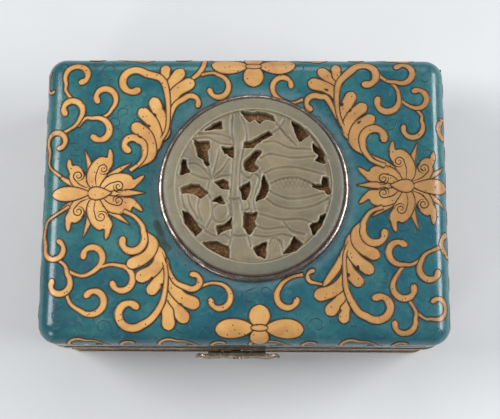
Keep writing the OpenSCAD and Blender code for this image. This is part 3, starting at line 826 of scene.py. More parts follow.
# Outlines of the piercings, in millimetres from the stone's middle
PIERCINGS = (
    ((-7.7, 8.9), (-6.3, 9.7), (-5.1, 10.1), (-5.1, 9.1), (-7.0, 9.0)),
    ((-2.0, 11.7), (0.5, 11.7), (3.0, 11.2), (3.3, 10.5), (1.9, 10.7), (1.0, 10.0),
     (0.4, 10.9), (-0.6, 10.4), (-1.4, 11.0)),
    ((6.1, 10.2), (7.3, 9.7), (8.5, 8.0), (7.3, 7.2), (6.5, 8.5)),
    ((-9.2, 7.0), (-7.0, 7.1), (-6.9, 6.2), (-7.5, 5.6), (-6.9, 3.3), (-7.3, 3.2), (-7.7, 4.2), (-8.8, 4.8)),
    ((-5.0, 6.1), (-3.3, 6.1), (-3.3, 4.6), (-3.8, 4.8), (-4.1, 5.2), (-4.6, 5.2)),
    ((-1.5, 6.1), (-1.4, 6.8), (-0.2, 7.2), (2.4, 8.6), (2.8, 8.2), (1.5, 7.3), (0.3, 6.6), (-0.2, 6.2)),
    ((0.2, 5.6), (1.1, 5.4), (0.0, 3.5), (0.7, 2.8), (0.0, 2.3), (-1.4, 2.5), (-1.4, 3.7), (-0.6, 4.7)),
    ((9.4, 6.6), (10.6, 5.6), (11.2, 3.7), (9.8, 4.0), (10.2, 5.0), (9.3, 5.6)),
    ((-11.0, 4.1), (-10.5, 3.9), (-10.5, 2.9), (-10.1, 2.1), (-11.5, 1.8)),
    ((10.8, 1.4), (11.6, 1.2), (11.8, -1.2), (11.4, -1.2), (11.0, -0.6), (9.3, -0.3),
     (9.4, 0.1), (10.8, 0.1)),
    ((-5.9, 0.4), (-4.6, 0.9), (-3.9, 0.6), (-3.9, -0.5), (-5.0, -0.4)),
    ((-11.3, -0.5), (-9.7, 0.0), (-8.4, 0.0), (-7.2, -1.1), (-8.2, -1.9), (-9.5, -1.3), (-11.2, -1.1)),
    ((-2.1, -0.5), (-0.6, 0.5), (-0.5, 0.0), (-1.2, -2.2), (-1.7, -2.2)),
    ((1.5, 1.4), (2.4, 0.0), (1.7, -1.9), (0.5, -2.4), (0.5, -1.7), (1.3, -0.4)),
    ((-6.3, -2.5), (-5.2, -1.8), (-4.4, -2.8), (-5.5, -2.7)),
    ((-11.0, -4.1), (-10.1, -4.6), (-8.0, -6.9), (-8.9, -7.9), (-10.5, -5.9)),
    ((-3.5, -5.2), (-3.4, -6.7), (-4.3, -6.8), (-5.5, -7.7), (-5.6, -6.6), (-4.2, -6.0)),
    ((-1.5, -4.4), (0.5, -4.3), (0.1, -5.5), (0.4, -6.3), (-0.7, -7.6), (-1.4, -6.5)),
    ((11.0, -4.5), (10.6, -6.1), (9.2, -7.8), (8.9, -6.3), (10.2, -5.7), (10.3, -4.8)),
    ((-7.6, -9.0), (-5.7, -9.0), (-3.7, -9.6), (-3.9, -11.3), (-6.1, -10.4)),
    ((0.1, -9.8), (2.1, -9.0), (1.7, -11.4), (0.7, -11.0)),
    ((6.2, -8.1), (7.6, -9.1), (6.4, -10.2), (4.7, -10.7), (5.8, -9.4)),
)
# Deep grooves between petals, leaves and stalk
GROOVES = (
    ((1.5, 6.9), (3.4, 7.0), (5.6, 6.0), (9.0, 5.8)),
    ((1.0, 4.3), (2.4, 5.0), (4.3, 4.7), (6.2, 4.4), (9.6, 4.7)),
    ((1.6, 1.9), (3.4, 2.7), (5.8, 2.9), (8.1, 2.5), (10.9, 1.8)),
    ((2.6, 0.3), (4.3, 1.0), (6.8, 1.2), (9.3, 0.2)),
    ((2.2, -0.7), (3.6, -1.5), (5.5, -2.1), (8.1, -1.9), (11.5, -1.0)),
    ((2.0, -2.1), (3.6, -3.2), (6.2, -3.7), (9.2, -3.2), (11.6, -2.0)),
    ((0.6, -4.4), (2.0, -4.8), (4.3, -5.4), (7.2, -5.3), (9.2, -5.9)),
    ((4.5, -5.6), (5.8, -7.1), (7.9, -7.7)),
    ((0.4, -6.4), (1.9, -6.9), (3.6, -6.7), (5.2, -6.5)),
    ((0.0, -7.9), (2.2, -8.1), (4.4, -7.7), (6.0, -8.1)),
    ((3.1, 10.6), (4.6, 8.6), (5.8, 7.3), (6.6, 6.4)),
    ((8.3, 9.0), (9.7, 7.0), (11.6, 4.2)),
    ((2.6, 8.2), (4.0, 9.3), (4.8, 10.6)),
    ((-3.4, 11.2), (-3.5, 8.8), (-3.2, 6.2), (-3.3, 3.0), (-3.6, -1.6)),
    ((-1.9, 11.0), (-1.3, 9.4), (-1.1, 7.4), (-1.6, 6.0), (-2.1, 3.0), (-2.2, -0.6), (-2.0, -2.6)),
    ((-3.6, -2.4), (-3.4, -5.2), (-3.3, -7.2), (-3.7, -9.4)),
    ((-1.9, -2.6), (-1.6, -4.6), (-1.0, -7.2), (-0.4, -9.6)),
    ((-3.8, -2.1), (-2.9, -2.2), (-2.0, -2.0)),
    ((-3.3, -7.8), (-2.2, -8.0), (-1.0, -7.8)),
    ((-8.6, 8.2), (-6.6, 8.3), (-4.8, 8.0), (-3.3, 7.4)),
    ((-9.4, 7.3), (-7.2, 7.6), (-5.2, 6.7), (-3.2, 6.4)),
    ((-6.6, 1.2), (-7.8, 2.6), (-9.0, 3.4), (-10.2, 3.4)),
    ((-6.6, 1.2), (-7.2, 3.2)),
    ((-6.4, 1.4), (-5.9, 3.4), (-5.4, 5.6)),
    ((-6.2, 1.3), (-4.9, 2.6), (-3.8, 4.4)),
    ((-6.1, 1.0), (-5.0, 1.4), (-3.7, 1.6)),
    ((-6.8, 0.9), (-8.2, 1.2), (-9.8, 1.9)),
    ((-6.9, 0.6), (-7.2, -1.0)),
    ((-7.1, -1.2), (-6.6, -2.4), (-6.4, -3.6), (-6.5, -5.0), (-7.2, -6.6)),
    ((-11.2, -1.6), (-10.6, -3.6), (-9.0, -5.6), (-7.6, -6.9)),
    ((-8.4, -2.0), (-8.6, -3.6), (-8.0, -5.6)),
    ((-10.2, -1.6), (-9.8, -3.2), (-8.6, -5.2)),
    ((-3.8, -3.2), (-3.7, -4.6), (-4.6, -5.8), (-5.9, -5.6), (-6.4, -4.2), (-5.7, -3.0), (-4.6, -2.9)),
    ((-7.4, -7.2), (-6.0, -7.9), (-4.4, -7.8), (-3.6, -8.4)),
    ((-0.4, 2.2), (0.9, 1.2), (0.4, -0.8), (0.0, -2.6), (0.3, -4.2)),
    ((-1.9, 2.2), (-0.9, 1.2), (-0.2, 1.9)),
    ((-0.9, -2.4), (-0.7, -3.4), (-1.4, -4.2)),
    ((2.4, -9.2), (3.0, -8.2), (4.2, -8.9), (4.6, -10.8)),
)


def hatches():
    """Short cuts in rows: inside the large flower, and on two leaves."""
    rows = []
    for k in range(9):
        x = 3.3 + 0.66 * k
        top = 0.8 + 0.35 * math.sin(math.pi * k / 8)
        rows.append(((x, top), (x + 0.8, top - 1.5)))
        if k > 1:
            rows.append(((x + 0.75, top - 0.1), (x + 0.1, top - 1.4)))
    for k in range(3):
        rows.append(((3.9 + 0.3 * k, 9.3 - 0.6 * k), (5.5 + 0.2 * k, 8.2 - 0.6 * k)))
        rows.append(((4.5 - 0.35 * k, -8.6), (3.9 - 0.3 * k, -10.3)))
    return rows


def segment_distance(x, y, line):
    """Distance from grid points to a line of a few points."""
    best = np.full(x.shape, FAR)
    for (ax, ay), (bx, by) in zip(line[:-1], line[1:]):
        dx, dy = bx - ax, by - ay
        t = np.clip(((x - ax) * dx + (y - ay) * dy) / (dx * dx + dy * dy + 1e-12), 0, 1)
        best = np.minimum(best, np.hypot(x - ax - t * dx, y - ay - t * dy))
    return best


def inside(x, y, polygon):
    hit = np.zeros(x.shape, bool)
    for (ax, ay), (bx, by) in zip(polygon, polygon[1:] + polygon[:1]):
        if ay != by:
            hit ^= ((ay > y) != (by > y)) & (x < (bx - ax) * (y - ay) / (by - ay) + ax)
    return hit


def carve(x, y):
    """Height of the stone's face from its top, share of dirt, distance from a piercing, 1 on the ring,
    and share of painted highlight along edges."""
    r = np.hypot(x, y)
    wx = x + 0.09 * np.sin(1.9 * y + 0.8) + 0.035 * np.sin(5.1 * y - 1.9 * x)
    wy = y + 0.09 * np.sin(1.7 * x + 2.1) + 0.035 * np.sin(4.7 * x + 2.3 * y)
    pierced = np.full(x.shape, FAR)
    for polygon in PIERCINGS:
        d = segment_distance(wx, wy, polygon + polygon[:1])
        pierced = np.minimum(pierced, np.where(inside(wx, wy, polygon), -d, d))
    pierced -= 0.13
    cut = np.full(x.shape, FAR)
    for groove in GROOVES:
        cut = np.minimum(cut, segment_distance(x, y, [tuple(p) for p in spline(groove, 6)]))
    fine = np.full(x.shape, FAR)
    for hatch in hatches():
        fine = np.minimum(fine, segment_distance(x, y, hatch))
    wall = FIELD_R - r
    near = np.minimum(np.minimum(cut, pierced.clip(0) + 0.25), wall.clip(0) + 0.2)
    pillow = 1 - np.exp(-near / 0.55)
    slant = 0.09 * np.sin(0.9 * x + 0.5 * y) + 0.07 * np.sin(1.7 * y - 0.6 * x + 1.0)
    field = -FIELD_DEPTH + PILLOW * pillow + slant * pillow
    field -= 0.07 * np.exp(-(cut / 0.16) ** 2) + 0.05 * np.exp(-(fine / 0.09) ** 2)
    field -= 0.06 * np.exp(-pierced.clip(0) / 0.08)
    field += 0.022 * np.sin(7.5 * cut) * np.exp(-cut / 0.9)
    across = (r - RING_CREST) / (STONE_EDGE - RING_CREST)
    ring = -0.26 * np.abs(across) ** 2.4
    ring += 0.04 * np.exp(-(wall + 0.2) ** 2 / 0.02)
    ring -= EDGE_DROP * smoothstep(STONE_EDGE - 0.18, STONE_EDGE + 0.05, r)
    step = smoothstep(-0.12, 0.16, wall)
    height = ring * (1 - step) + field * step
    deep = 1 - smoothstep(-0.14, 0.03, pierced)
    depth = STONE_HIGH[2] - STONE_LOW[2] - 0.02
    height = height * (1 - deep) - depth * deep
    dirt = 0.75 * np.exp(-cut / 0.1) + 0.8 * np.exp(-fine / 0.08) + 0.5 * np.exp(-np.abs(wall) / 0.14)
    dirt += 0.6 * smoothstep(STONE_EDGE - 0.3, STONE_EDGE, r) + smoothstep(0.0, -0.15, pierced)
    # Painted highlight: pale lines on the piercings' rims, on the shoulders beside the grooves and on the
    # ring's lip.
    edge_highlight = np.exp(-((pierced - 0.14) / 0.1) ** 2) + np.exp(-((cut - 0.34) / 0.12) ** 2) * 0.6
    edge_highlight += 0.8 * np.exp(-((wall + 0.22) / 0.12) ** 2)
    return height, dirt.clip(0, 1), pierced, smoothstep(0.1, -0.1, wall), edge_highlight.clip(0, 1)


def carved_stone(material):
    n = int(STONE_R / STONE_GRID)
    axis = np.arange(-n, n + 1) * STONE_R / n
    x, y = np.meshgrid(axis, axis, indexing="ij")
    # The square grid is pressed into a disc, so that the stone's edge is round
    big = np.maximum(np.abs(x), np.abs(y))
    small = np.minimum(np.abs(x), np.abs(y))
    t = smoothstep(0.72 * STONE_R, STONE_R, big)
    squeeze = 1 + t * (1 / np.sqrt(1 + (small / np.maximum(big, 1e-9)) ** 2) - 1)
    x, y = x * squeeze, y * squeeze
    keep = np.hypot(x, y) <= STONE_R + 1e-6
    height, dirt, pierced, ring, edge_highlight = carve(x, y)
    z = STONE_HIGH[2] + height
    index = -np.ones(x.shape, int)
    keep &= pierced > -0.3
    index[keep] = np.arange(keep.sum())
    points = np.stack([x[keep] + STONE_XY[0], y[keep] + STONE_XY[1], z[keep]], 1)
    a, b, c, d = index[:-1, :-1], index[1:, :-1], index[1:, 1:], index[:-1, 1:]
    quads = np.stack([a, b, c, d], -1).reshape(-1, 4)
    quads = quads[(quads >= 0).all(1)]
    mesh = bpy.data.meshes.new("roundel_carving")
    mesh.from_pydata((points * MM).tolist(), [], quads.tolist())
    for name, values in (("dirt", dirt), ("ring", ring), ("edge_highlight", edge_highlight)):
        mark = mesh.attributes.new(name, "FLOAT", "POINT")
        mark.data.foreach_set("value", values[keep].astype(np.float32))
    piece = finish_mesh(mesh, "roundel_carving", material, "lid")
    drop_rim(piece)
    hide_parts("carved_roundel")
    return piece


# The bezel's section, from its outer foot over its top to its inner edge: radius and level
BEZEL_SECTION = ((14.98, 23.55), (14.99, 24.1), (14.96, 24.5), (14.84, 24.82), (14.62, 24.98), (14.4, 25.02),
                 (14.24, 25.0), (14.12, 24.92), (14.1, 24.7))
BEZEL_STEPS = 480
BEZEL_WAVE = 0.035


def burnished_bezel(material):
    """Thin metal wall pressed over the stone's edge, slightly wavy from the burnisher."""
    angle = np.linspace(0, 2 * math.pi, BEZEL_STEPS, endpoint=False)
    section = spline(BEZEL_SECTION, 4)
    press = smoothstep(24.3, 24.9, section[:, 1])
    wave = np.sin(11 * angle + 2 * np.sin(3 * angle)) + 0.7 * np.sin(29 * angle + np.sin(5 * angle))
    radius = section[:, 0] - BEZEL_WAVE * (1 + wave[:, None] / 1.7) * press
    level = section[:, 1] + BEZEL_WAVE * wave[:, None] * press
    x = STONE_XY[0] + radius * np.cos(angle)[:, None]
    y = STONE_XY[1] + radius * np.sin(angle)[:, None]
    dirt = np.maximum(smoothstep(14.35, 14.12, section[:, 0]), smoothstep(24.4, 23.7, section[:, 1]))
    sheet = Sheet()
    sheet.grid(np.stack([x, y, level], 2), dirt, closed=True)
    piece = sheet.build("bezel_burnished", "dirt", material, "lid", "bezel_metal")
    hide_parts("bezel")
    return piece


def drop_rim(piece):
    """Carries the stone's open edges down to its underside."""
    work = bmesh.new()
    work.from_mesh(piece.data)
    edges = [e for e in work.edges if e.is_boundary]
    new = bmesh.ops.extrude_edge_only(work, edges=edges)["geom"]
    for vert in new:
        if isinstance(vert, bmesh.types.BMVert):
            vert.co.z = (STONE_LOW[2] + 0.01) * MM
    work.to_mesh(piece.data)
    work.free()


# ---------------------------------------------------------------- clasp
CLASP_WAVE = 0.3


def clasp_plate(material):
    """The clasp plate with worn cloud scrolls cut into its face."""
    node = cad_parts["clasp_plate"]
    mesh = node.data.copy()
    mesh.materials.clear()
    piece = bpy.data.objects.new("clasp_cloud_plate", mesh)
    bpy.context.scene.collection.objects.link(piece)
    remesh = piece.modifiers.new("remesh", "REMESH")
    remesh.mode = "VOXEL"
    remesh.voxel_size = 0.075 * MM
    graph = bpy.context.evaluated_depsgraph_get()
    mesh = bpy.data.meshes.new_from_object(piece.evaluated_get(graph))
    piece.modifiers.clear()
    piece.data = mesh
    low, high = box_mm("clasp_plate")
    middle = (low[0] + high[0]) / 2
    co = np.zeros(len(mesh.vertices) * 3)
    mesh.vertices.foreach_get("co", co)
    co = co.reshape(-1, 3) / MM
    normal = np.zeros(len(mesh.vertices) * 3)
    mesh.vertices.foreach_get("normal", normal)
    normal = normal.reshape(-1, 3)
    x = np.abs(co[:, 0] - middle)
    z = co[:, 2] - low[2]
    cut = np.full(len(x), FAR)
    for line in clasp_cuts():
        cut = np.minimum(cut, segment_distance(x, z, [tuple(p) for p in line]))
    face = smoothstep(0.5, 0.95, -normal[:, 1])
    co[:, 1] += face * 0.12 * np.exp(-(cut / 0.16) ** 2)
    # The three lobes of the plate's lower half stand out, and the steps between them lie back
    lobes = 0.5 - 0.5 * np.cos(2 * math.pi * (co[:, 0] - low[0]) / ((high[0] - low[0]) / 3))
    tips = smoothstep(high[0] - middle - 0.6, high[0] - middle, x)
    below = smoothstep(0.75, 0.45, z / (high[2] - low[2]))
    co[:, 1] += CLASP_WAVE * below * (1 - np.maximum(lobes, tips))
    mesh.vertices.foreach_set("co", (co * MM).ravel())
    mark = mesh.attributes.new("dirt", "FLOAT", "POINT")
    mark.data.foreach_set("value", (face * np.exp(-cut / 0.2)).astype(np.float32))
    mesh.shade_smooth()
    mesh.materials.clear()
    mesh.materials.append(material)
    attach(piece, "clasp")
    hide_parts("clasp_plate")
    return piece


def clasp_cuts():
    """Cut lines on one half of the plate, from its middle and its lower edge."""
    lines = [
        spiral((5.2, 2.9), 1.25, -120, 420, 0.25),
        spiral((2.3, 2.1), 1.1, 60, -400, 0.25),
        spiral((3.6, 5.2), 1.0, 200, -380, 0.3),
        spline([(6.6, 1.6), (6.2, 4.2), (5.0, 5.8), (3.4, 6.5), (1.2, 6.4)]),
        spline([(1.4, 4.0), (2.6, 3.9), (3.6, 3.2), (4.0, 2.2)]),
    ]
    return lines


# ---------------------------------------------------------------- materials
def srgb(r, g, b):
    """Linear colour from 0 to 255 values."""
    out = []
    for c in (r, g, b):
        c /= 255
        out.append(c / 12.92 if c <= 0.04045 else ((c + 0.055) / 1.055) ** 2.4)
    return (*out, 1.0)


class Finish:
    """A material being built from nodes, with its pattern in millimetres of the piece's own space."""

    def __init__(self, name, **sockets):
        self.material = bpy.data.materials.new(name)
        self.material.use_nodes = True
        self.tree = self.material.node_tree
        self.shader = self.tree.nodes["Principled BSDF"]
        for key, value in sockets.items():
            self.shader.inputs[key.replace("_", " ")].default_value = value
        place = self.add("ShaderNodeTexCoord")
        scale = self.add("ShaderNodeVectorMath", operation="SCALE")
        scale.inputs["Scale"].default_value = 1000.0
        self.join(place.outputs["Object"], scale.inputs[0])
        self.mm = scale.outputs[0]
        self.bump_normal = None

    def add(self, kind, **values):
        node = self.tree.nodes.new(kind)
        for key, value in values.items():
            setattr(node, key, value)
        return node

    def join(self, a, b):
        self.tree.links.new(a, b)

    def noise(self, size, detail=4.0, rough=0.55, warp=0.0, stretch=None):
        """Noise from 0 to 1 with features about size millimetres across."""
        node = self.add("ShaderNodeTexNoise")
        node.inputs["Scale"].default_value = 1.0 / size
        node.inputs["Detail"].default_value = detail
        node.inputs["Roughness"].default_value = rough
        node.inputs["Distortion"].default_value = warp
        where = self.mm
        if stretch:
            part = self.add("ShaderNodeVectorMath", operation="MULTIPLY")
            part.inputs[1].default_value = stretch
            self.join(self.mm, part.inputs[0])
            where = part.outputs[0]
        self.join(where, node.inputs["Vector"])
        return node.outputs["Fac"]

    def shade_slope(self, slope, most=0.75):
        """Share that grows across the piece, by a slope per millimetre along each axis: painted shade that
        deepens away from the light.
        """
        node = self.add("ShaderNodeVectorMath", operation="DOT_PRODUCT")
        node.inputs[1].default_value = slope
        self.join(self.mm, node.inputs[0])
        return self.ramp(self.math("ADD", node.outputs["Value"], 0.2), ((0.0, 0.0), (0.7, most)))

    def pits(self, size, share, radius):
        """1 in a few small round spots, 0 elsewhere."""
        node = self.add("ShaderNodeTexVoronoi")
        node.inputs["Scale"].default_value = 1.0 / size
        self.join(self.mm, node.inputs["Vector"])
        spot = self.ramp(node.outputs["Distance"], ((radius * 0.6, 1), (radius, 0)))
        some = self.ramp(node.outputs["Color"], ((share, 1), (share + 0.02, 0)))
        return self.math("MULTIPLY", spot, some)

    def math(self, operation, a, b):
        node = self.add("ShaderNodeMath", operation=operation)
        for k, value in enumerate((a, b)):
            if isinstance(value, (int, float)):
                node.inputs[k].default_value = value
            else:
                self.join(value, node.inputs[k])
        return node.outputs[0]

    def ramp(self, value, stops):
        """Straight pieces between (place, value or colour) stops."""
        node = self.add("ShaderNodeValToRGB")
        band = node.color_ramp
        while len(band.elements) < len(stops):
            band.elements.new(0.5)
        for element, (place, colour) in zip(band.elements, stops):
            element.position = place
            element.color = colour if isinstance(colour, tuple) else (colour, colour, colour, 1)
        self.join(value, node.inputs[0])
        return node.outputs[0]

    def mark(self, name, low, high):
        """A mesh number, brought to 1 at low and 0 at high."""
        node = self.add("ShaderNodeAttribute", attribute_name=name)
        spread = self.add("ShaderNodeMapRange", interpolation_type="SMOOTHSTEP")
        spread.inputs["From Min"].default_value = low
        spread.inputs["From Max"].default_value = high
        spread.inputs["To Min"].default_value = 1.0
        spread.inputs["To Max"].default_value = 0.0
        self.join(node.outputs["Fac"], spread.inputs["Value"])
        return spread.outputs["Result"]

    def mix(self, share, a, b, blend="MIX"):
        node = self.add("ShaderNodeMix", data_type="RGBA", blend_type=blend)
        for socket, value in ((node.inputs[0], share), (node.inputs[6], a), (node.inputs[7], b)):
            if isinstance(value, (int, float, tuple)):
                socket.default_value = value
            else:
                self.join(value, socket)
        return node.outputs[2]

    def colour(self, value):
        self.join(value, self.shader.inputs["Base Color"])

    def rough(self, value, low, high):
        self.join(self.ramp(value, ((0.3, low), (0.7, high))), self.shader.inputs["Roughness"])

    def bump(self, height, depth):
        """Adds relief of about depth millimetres."""
        node = self.add("ShaderNodeBump")
        node.inputs["Strength"].default_value = 1.0
        node.inputs["Distance"].default_value = depth * MM
        self.join(height, node.inputs["Height"])
        if self.bump_normal:
            self.join(self.bump_normal, node.inputs["Normal"])
        self.bump_normal = node.outputs[0]
        self.join(self.bump_normal, self.shader.inputs["Normal"])


def teal_enamel(name, beside_bezel=False):
    f = Finish(name, IOR=1.5)
    broad = f.noise(9.0, 3.0, 0.5, 0.6)
    colour = f.ramp(broad, ((0.3, srgb(26, 78, 88)), (0.5, srgb(38, 98, 102)), (0.72, srgb(60, 116, 112))))
    # Painted shade: the teal turns darker and bluer towards the right and the front, away from the light.
    colour = f.mix(f.shade_slope((0.006, -0.006, 0.0), 0.5), colour, srgb(34, 76, 96))
    cloudy = f.noise(1.1, 5.0, 0.65, 0.4)
    colour = f.mix(f.ramp(cloudy, ((0.42, 0.0), (0.75, 0.55))), colour, srgb(20, 58, 78))
    milky = f.noise(2.2, 5.0, 0.7, 0.8)
    colour = f.mix(f.ramp(milky, ((0.55, 0.0), (0.8, 0.5))), colour, srgb(92, 138, 138))
    speck = f.noise(0.16, 2.0, 0.7)
    colour = f.mix(f.ramp(speck, ((0.6, 0.0), (0.8, 0.4))), colour, srgb(96, 128, 118))
    if beside_bezel:
        # Painted sheen: the enamel in its dip beside the bezel is painted paler, as light reflected there,
        # broken up by noise.
        near = f.mark("bezel_mm", 0.3, 2.2)
        worn = f.math("MULTIPLY", near, f.ramp(f.noise(1.6, 4.0), ((0.3, 0.3), (0.7, 0.7))))
        colour = f.mix(worn, colour, srgb(104, 132, 138))
        gone = f.mark("chip_mm", 0.35, 0.8)
        chip = f.math("MULTIPLY", gone, f.ramp(f.noise(1.4, 4.0), ((0.35, 0.45), (0.6, 0.85))))
        colour = f.mix(chip, colour, srgb(58, 62, 54))
    colour = f.mix(f.mark("wire_mm", 0.08, 0.36), colour, srgb(40, 46, 40))
    pits = f.pits(1.1, 0.42, 0.12)
    colour = f.mix(pits, colour, srgb(30, 24, 20))
    rust = f.pits(2.3, 0.4, 0.06)
    colour = f.mix(rust, colour, srgb(120, 84, 48))
    f.colour(colour)
    f.rough(f.noise(3.0, 4.0), 0.15, 0.32)
    f.bump(f.noise(1.1, 3.0), 0.02)
    f.bump(f.noise(0.3, 2.0), 0.006)
    f.bump(f.math("SUBTRACT", 1.0, pits), 0.04)
    return f.material


def scroll_enamel():
    f = Finish("scroll_enamel_glass", Roughness=0.35, IOR=1.5)
    broad = f.noise(4.0, 3.0, 0.5, 0.5)
    colour = f.ramp(broad, ((0.3, srgb(186, 134, 78)), (0.5, srgb(204, 156, 88)),
                            (0.72, srgb(216, 172, 108))))
    grain = f.noise(0.3, 5.0, 0.7)
    colour = f.mix(f.ramp(grain, ((0.5, 0.0), (0.78, 0.6))), colour, srgb(178, 124, 62))
    colour = f.mix(f.mark("edge_mm", 0.06, 0.3), colour, srgb(150, 104, 60))
    # Painted shade: the scrolls darken towards the right, away from the light.
    colour = f.mix(f.shade_slope((0.016, 0.002, 0.0)), colour, srgb(132, 98, 64))
    patchy = f.noise(1.3, 5.0, 0.7, 0.6)
    colour = f.mix(f.ramp(patchy, ((0.5, 0.0), (0.75, 0.55))), colour, srgb(206, 140, 96))
    pits = f.pits(0.7, 0.42, 0.2)
    colour = f.mix(pits, colour, srgb(74, 46, 28))
    f.colour(colour)
    f.rough(f.noise(1.6, 4.0), 0.26, 0.46)
    f.bump(grain, 0.02)
    f.bump(f.math("SUBTRACT", 1.0, pits), 0.04)
    return f.material


def metal(name, dark, mid, light, low, high, size, metallic=1.0, scratch=0.01, dirt=None):
    """Worn metal: tarnish in patches, brighter worn places, fine scratches."""
    f = Finish(name, Metallic=metallic)
    patch = f.noise(size, 5.0, 0.65, 0.5)
    colour = f.ramp(patch, ((0.3, dark), (0.52, mid), (0.75, light)))
    fine = f.noise(size * 0.12, 3.0, 0.6)
    colour = f.mix(f.ramp(fine, ((0.5, 0.0), (0.8, 0.5))), colour, dark)
    if dirt:
        colour = f.mix(f.mark("dirt", 0.1, 0.9), dirt, colour)
    f.colour(colour)
    f.rough(patch, high, low)
    f.bump(f.noise(size * 0.3, 4.0), scratch * 2)
    f.bump(f.noise(0.08, 2.0, 0.5, 0.0, (1.0, 0.2, 0.2)), scratch)
    return f.material


def jade():
    f = Finish("celadon_stone", Roughness=0.4, IOR=1.6)
    f.shader.inputs["Subsurface Weight"].default_value = 0.12
    f.shader.inputs["Subsurface Radius"].default_value = (0.8, 0.8, 0.6)
    f.shader.inputs["Subsurface Scale"].default_value = 0.8 * MM
    broad = f.noise(6.0, 4.0, 0.55, 0.8)
    colour = f.ramp(broad, ((0.3, srgb(106, 98, 77)), (0.5, srgb(122, 111, 86)), (0.72, srgb(140, 126, 99))))
    vein = f.noise(2.2, 6.0, 0.7, 1.5)
    colour = f.mix(f.ramp(vein, ((0.5, 0.0), (0.75, 0.45))), colour, srgb(103, 104, 88))
    ring_colour = f.mix(0.5, colour, srgb(122, 120, 99))
    # Painted shade: the ring darkens towards the right and the front, away from the light.
    ring_colour = f.mix(f.shade_slope((0.022, -0.016, 0.0)), ring_colour, srgb(68, 76, 73))
    colour = f.mix(f.mark("ring", 0.1, 0.9), ring_colour, colour)
    stain = f.noise(3.4, 5.0, 0.65, 1.0)
    colour = f.mix(f.ramp(stain, ((0.48, 0.0), (0.72, 0.6))), colour, srgb(110, 92, 66))
    # Painted highlight: the edges that catch the light are painted paler.
    colour = f.mix(f.mark("edge_highlight", 0.2, 1.0), f.mix(0.55, colour, srgb(182, 170, 140)), colour)
    colour = f.mix(f.mark("dirt", 0.1, 0.95), srgb(92, 72, 50), colour)
    f.colour(colour)
    cloud = f.noise(0.35, 4.0, 0.65)
    f.rough(f.noise(1.5, 4.0), 0.38, 0.58)
    f.bump(f.noise(0.9, 4.0), 0.09)
    f.bump(cloud, 0.05)
    return f.material


def backing():
    f = Finish("backing_fibre", Roughness=0.85)
    fibre = f.noise(0.24, 5.0, 0.75, 0.6)
    f.colour(f.ramp(fibre, ((0.34, srgb(60, 38, 22)), (0.5, srgb(124, 86, 50)), (0.66, srgb(190, 148, 98)))))
    f.rough(fibre, 0.9, 0.7)
    f.bump(fibre, 0.12)
    return f.material


def plain_enamel():
    f = Finish("lining_glass", Roughness=0.3, IOR=1.5)
    broad = f.noise(5.0, 4.0, 0.6, 0.6)
    colour = f.ramp(broad, ((0.3, srgb(58, 138, 150)), (0.5, srgb(74, 158, 166)), (0.72, srgb(96, 174, 176))))
    pits = f.pits(1.1, 0.4, 0.08)
    colour = f.mix(pits, colour, srgb(30, 66, 74))
    f.colour(colour)
    f.rough(f.noise(2.0, 4.0), 0.2, 0.42)
    f.bump(f.noise(0.9, 4.0), 0.05)
    f.bump(f.math("SUBTRACT", 1.0, pits), 0.04)
    return f.material


def dress_nodes():
    """Materials of the CAD nodes that stay."""
    copper = metal("copper_sheet", srgb(96, 56, 36), srgb(150, 90, 60), srgb(190, 124, 84), 0.3, 0.5, 2.4)
    rims = metal("rim_brass_worn", srgb(116, 86, 62), srgb(176, 138, 98), srgb(222, 188, 142),
                 0.24, 0.42, 0.9)
    clasp = metal("clasp_brass_worn", srgb(104, 88, 76), srgb(174, 152, 122), srgb(222, 204, 174),
                  0.24, 0.44, 1.0)
    steel = metal("pin_steel_dark", srgb(34, 34, 40), srgb(66, 66, 74), srgb(104, 104, 112), 0.3, 0.5, 0.8)
    lining = plain_enamel()
    wood = backing()
    plan = {
        "base_wall": copper, "base_floor": copper, "lid_shell": copper,
        "base_rim": rims, "foot_rim": rims, "lid_rim": rims, "base_hinge": rims, "lid_hinge": rims,
        "strike_plate": clasp, "catch_stud": clasp, "clasp_bracket": clasp,
        "hinge_pin": steel, "clasp_pin": steel,
        "floor_enamel": lining, "base_lining": lining, "lid_lining": lining, "roundel_backing": wood,
    }
    for node, material in plan.items():
        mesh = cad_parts[node].data
        if not mesh.materials:
            mesh.materials.append(material)
        for k in range(len(mesh.materials)):
            mesh.materials[k] = material


# ---------------------------------------------------------------- room
def floor_material():
    f = Finish("studio_floor", Roughness=0.75)
    f.colour(f.ramp(f.noise(40.0, 3.0), ((0.3, (0.60, 0.61, 0.62, 1)), (0.7, (0.64, 0.65, 0.66, 1)))))
    return f.material


def studio():
    bpy.ops.mesh.primitive_plane_add(size=4)
    floor = bpy.context.object
    floor.name = "studio_floor"
    floor.data.materials.append(floor_material())
    world = bpy.data.worlds.new("studio")
    bpy.context.scene.world = world
    world.use_nodes = True
    world.node_tree.nodes["Background"].inputs["Color"].default_value = (0.86, 0.9, 1.0, 1)
    world.node_tree.nodes["Background"].inputs["Strength"].default_value = 0.25
    # Each softbox: place, width, length and power
    lights = (
        ("key", (-0.2, 0.03, 0.24), 0.13, 0.13, 0.58),
        ("back", (0.0, 0.34, 0.26), 0.16, 0.16, 0.24),
        ("side_strip", (0.29, 0.02, 0.2), 0.11, 0.3, 1.25),
        ("corner", (-0.2, -0.28, 0.14), 0.08, 0.08, 0.22),
    )
    for name, place, width, length, power in lights:
        light = bpy.data.lights.new(name, "AREA")
        light.shape = "RECTANGLE"
        light.size = width
        light.size_y = length
        light.energy = power
        lamp = bpy.data.objects.new(name, light)
        lamp.location = place
        aim = Vector((0, 0, 0.015)) - Vector(place)
        side = aim.cross(Vector((0, 1, 0))).normalized()
        along = side.cross(aim).normalized()
        lamp.rotation_euler = Matrix((side, along, -aim.normalized())).transposed().to_euler()
        bpy.context.scene.collection.objects.link(lamp)
    bpy.context.scene.view_settings.view_transform = "Standard"


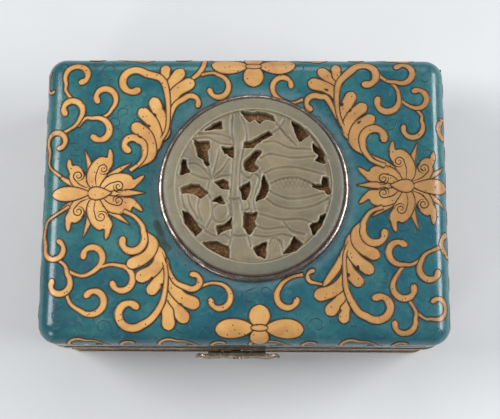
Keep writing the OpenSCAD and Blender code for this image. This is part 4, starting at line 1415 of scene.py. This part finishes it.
def camera():
    """Nearly overhead, a little in front of the box."""
    tilt, yaw, roll = math.radians(10.7), math.radians(-0.45), math.radians(0.23)
    forward = Vector((0, math.sin(tilt), -math.cos(tilt)))
    up = Vector((0, math.cos(tilt), math.sin(tilt)))
    right = Vector((1, 0, 0))
    forward, right = (forward * math.cos(yaw) + right * math.sin(yaw),
                      right * math.cos(yaw) - forward * math.sin(yaw))
    right, up = (right * math.cos(roll) + up * math.sin(roll),
                 up * math.cos(roll) - right * math.sin(roll))
    data = bpy.data.cameras.new("camera")
    data.lens = 69.7
    data.sensor_width = 36
    data.clip_start, data.clip_end = 0.01, 10
    eye = bpy.data.objects.new("camera", data)
    turn = Matrix((right, up, -forward)).transposed().to_4x4()
    eye.matrix_world = Matrix.Translation((0.00205, -0.0302, 0.1724)) @ turn
    bpy.context.scene.collection.objects.link(eye)
    bpy.context.scene.camera = eye


# ---------------------------------------------------------------- the whole
def enamel():
    teal = teal_enamel("teal_enamel_glass", beside_bezel=True)
    peach = scroll_enamel()
    wire = metal("cloison_wire_tarnished", srgb(46, 34, 24), srgb(74, 54, 36), srgb(120, 92, 58),
                 0.4, 0.6, 1.2, 0.7)
    lid = lid_pattern()
    lid.cells.build("lid_scroll_enamel", "edge_mm", peach, "lid", "scroll_enamel")
    lid.wires.build("lid_cloisons", "edge_mm", wire, "lid", "cloison_wire")
    faint = metal("cloud_wire_sunk", srgb(14, 44, 54), srgb(24, 58, 64), srgb(52, 80, 78), 0.3, 0.5, 1.0, 0.0)
    lid_clouds().wires.build("lid_cloud_wires", "edge_mm", faint, "lid", "cloison_wire")
    lid_ground(teal, lid.wire_points)
    base = Pattern(base_side_map)
    base_walls(base)
    base.cells.build("base_scroll_enamel", "edge_mm", peach, "base", "scroll_enamel")
    base.wires.build("base_cloisons", "edge_mm", wire, "base", "cloison_wire")
    base_ground(teal_enamel("base_teal_enamel_glass"), base.wire_points)


enamel()
carved_stone(jade())
burnished_bezel(metal("bezel_tarnished", srgb(96, 78, 74), srgb(150, 138, 130), srgb(206, 200, 192),
                      0.2, 0.42, 1.1, dirt=srgb(84, 52, 46)))
clasp_plate(metal("clasp_silvered", srgb(92, 76, 70), srgb(170, 148, 120), srgb(224, 208, 182),
                  0.24, 0.44, 1.2, dirt=srgb(66, 48, 44)))
dress_nodes()
studio()
camera()
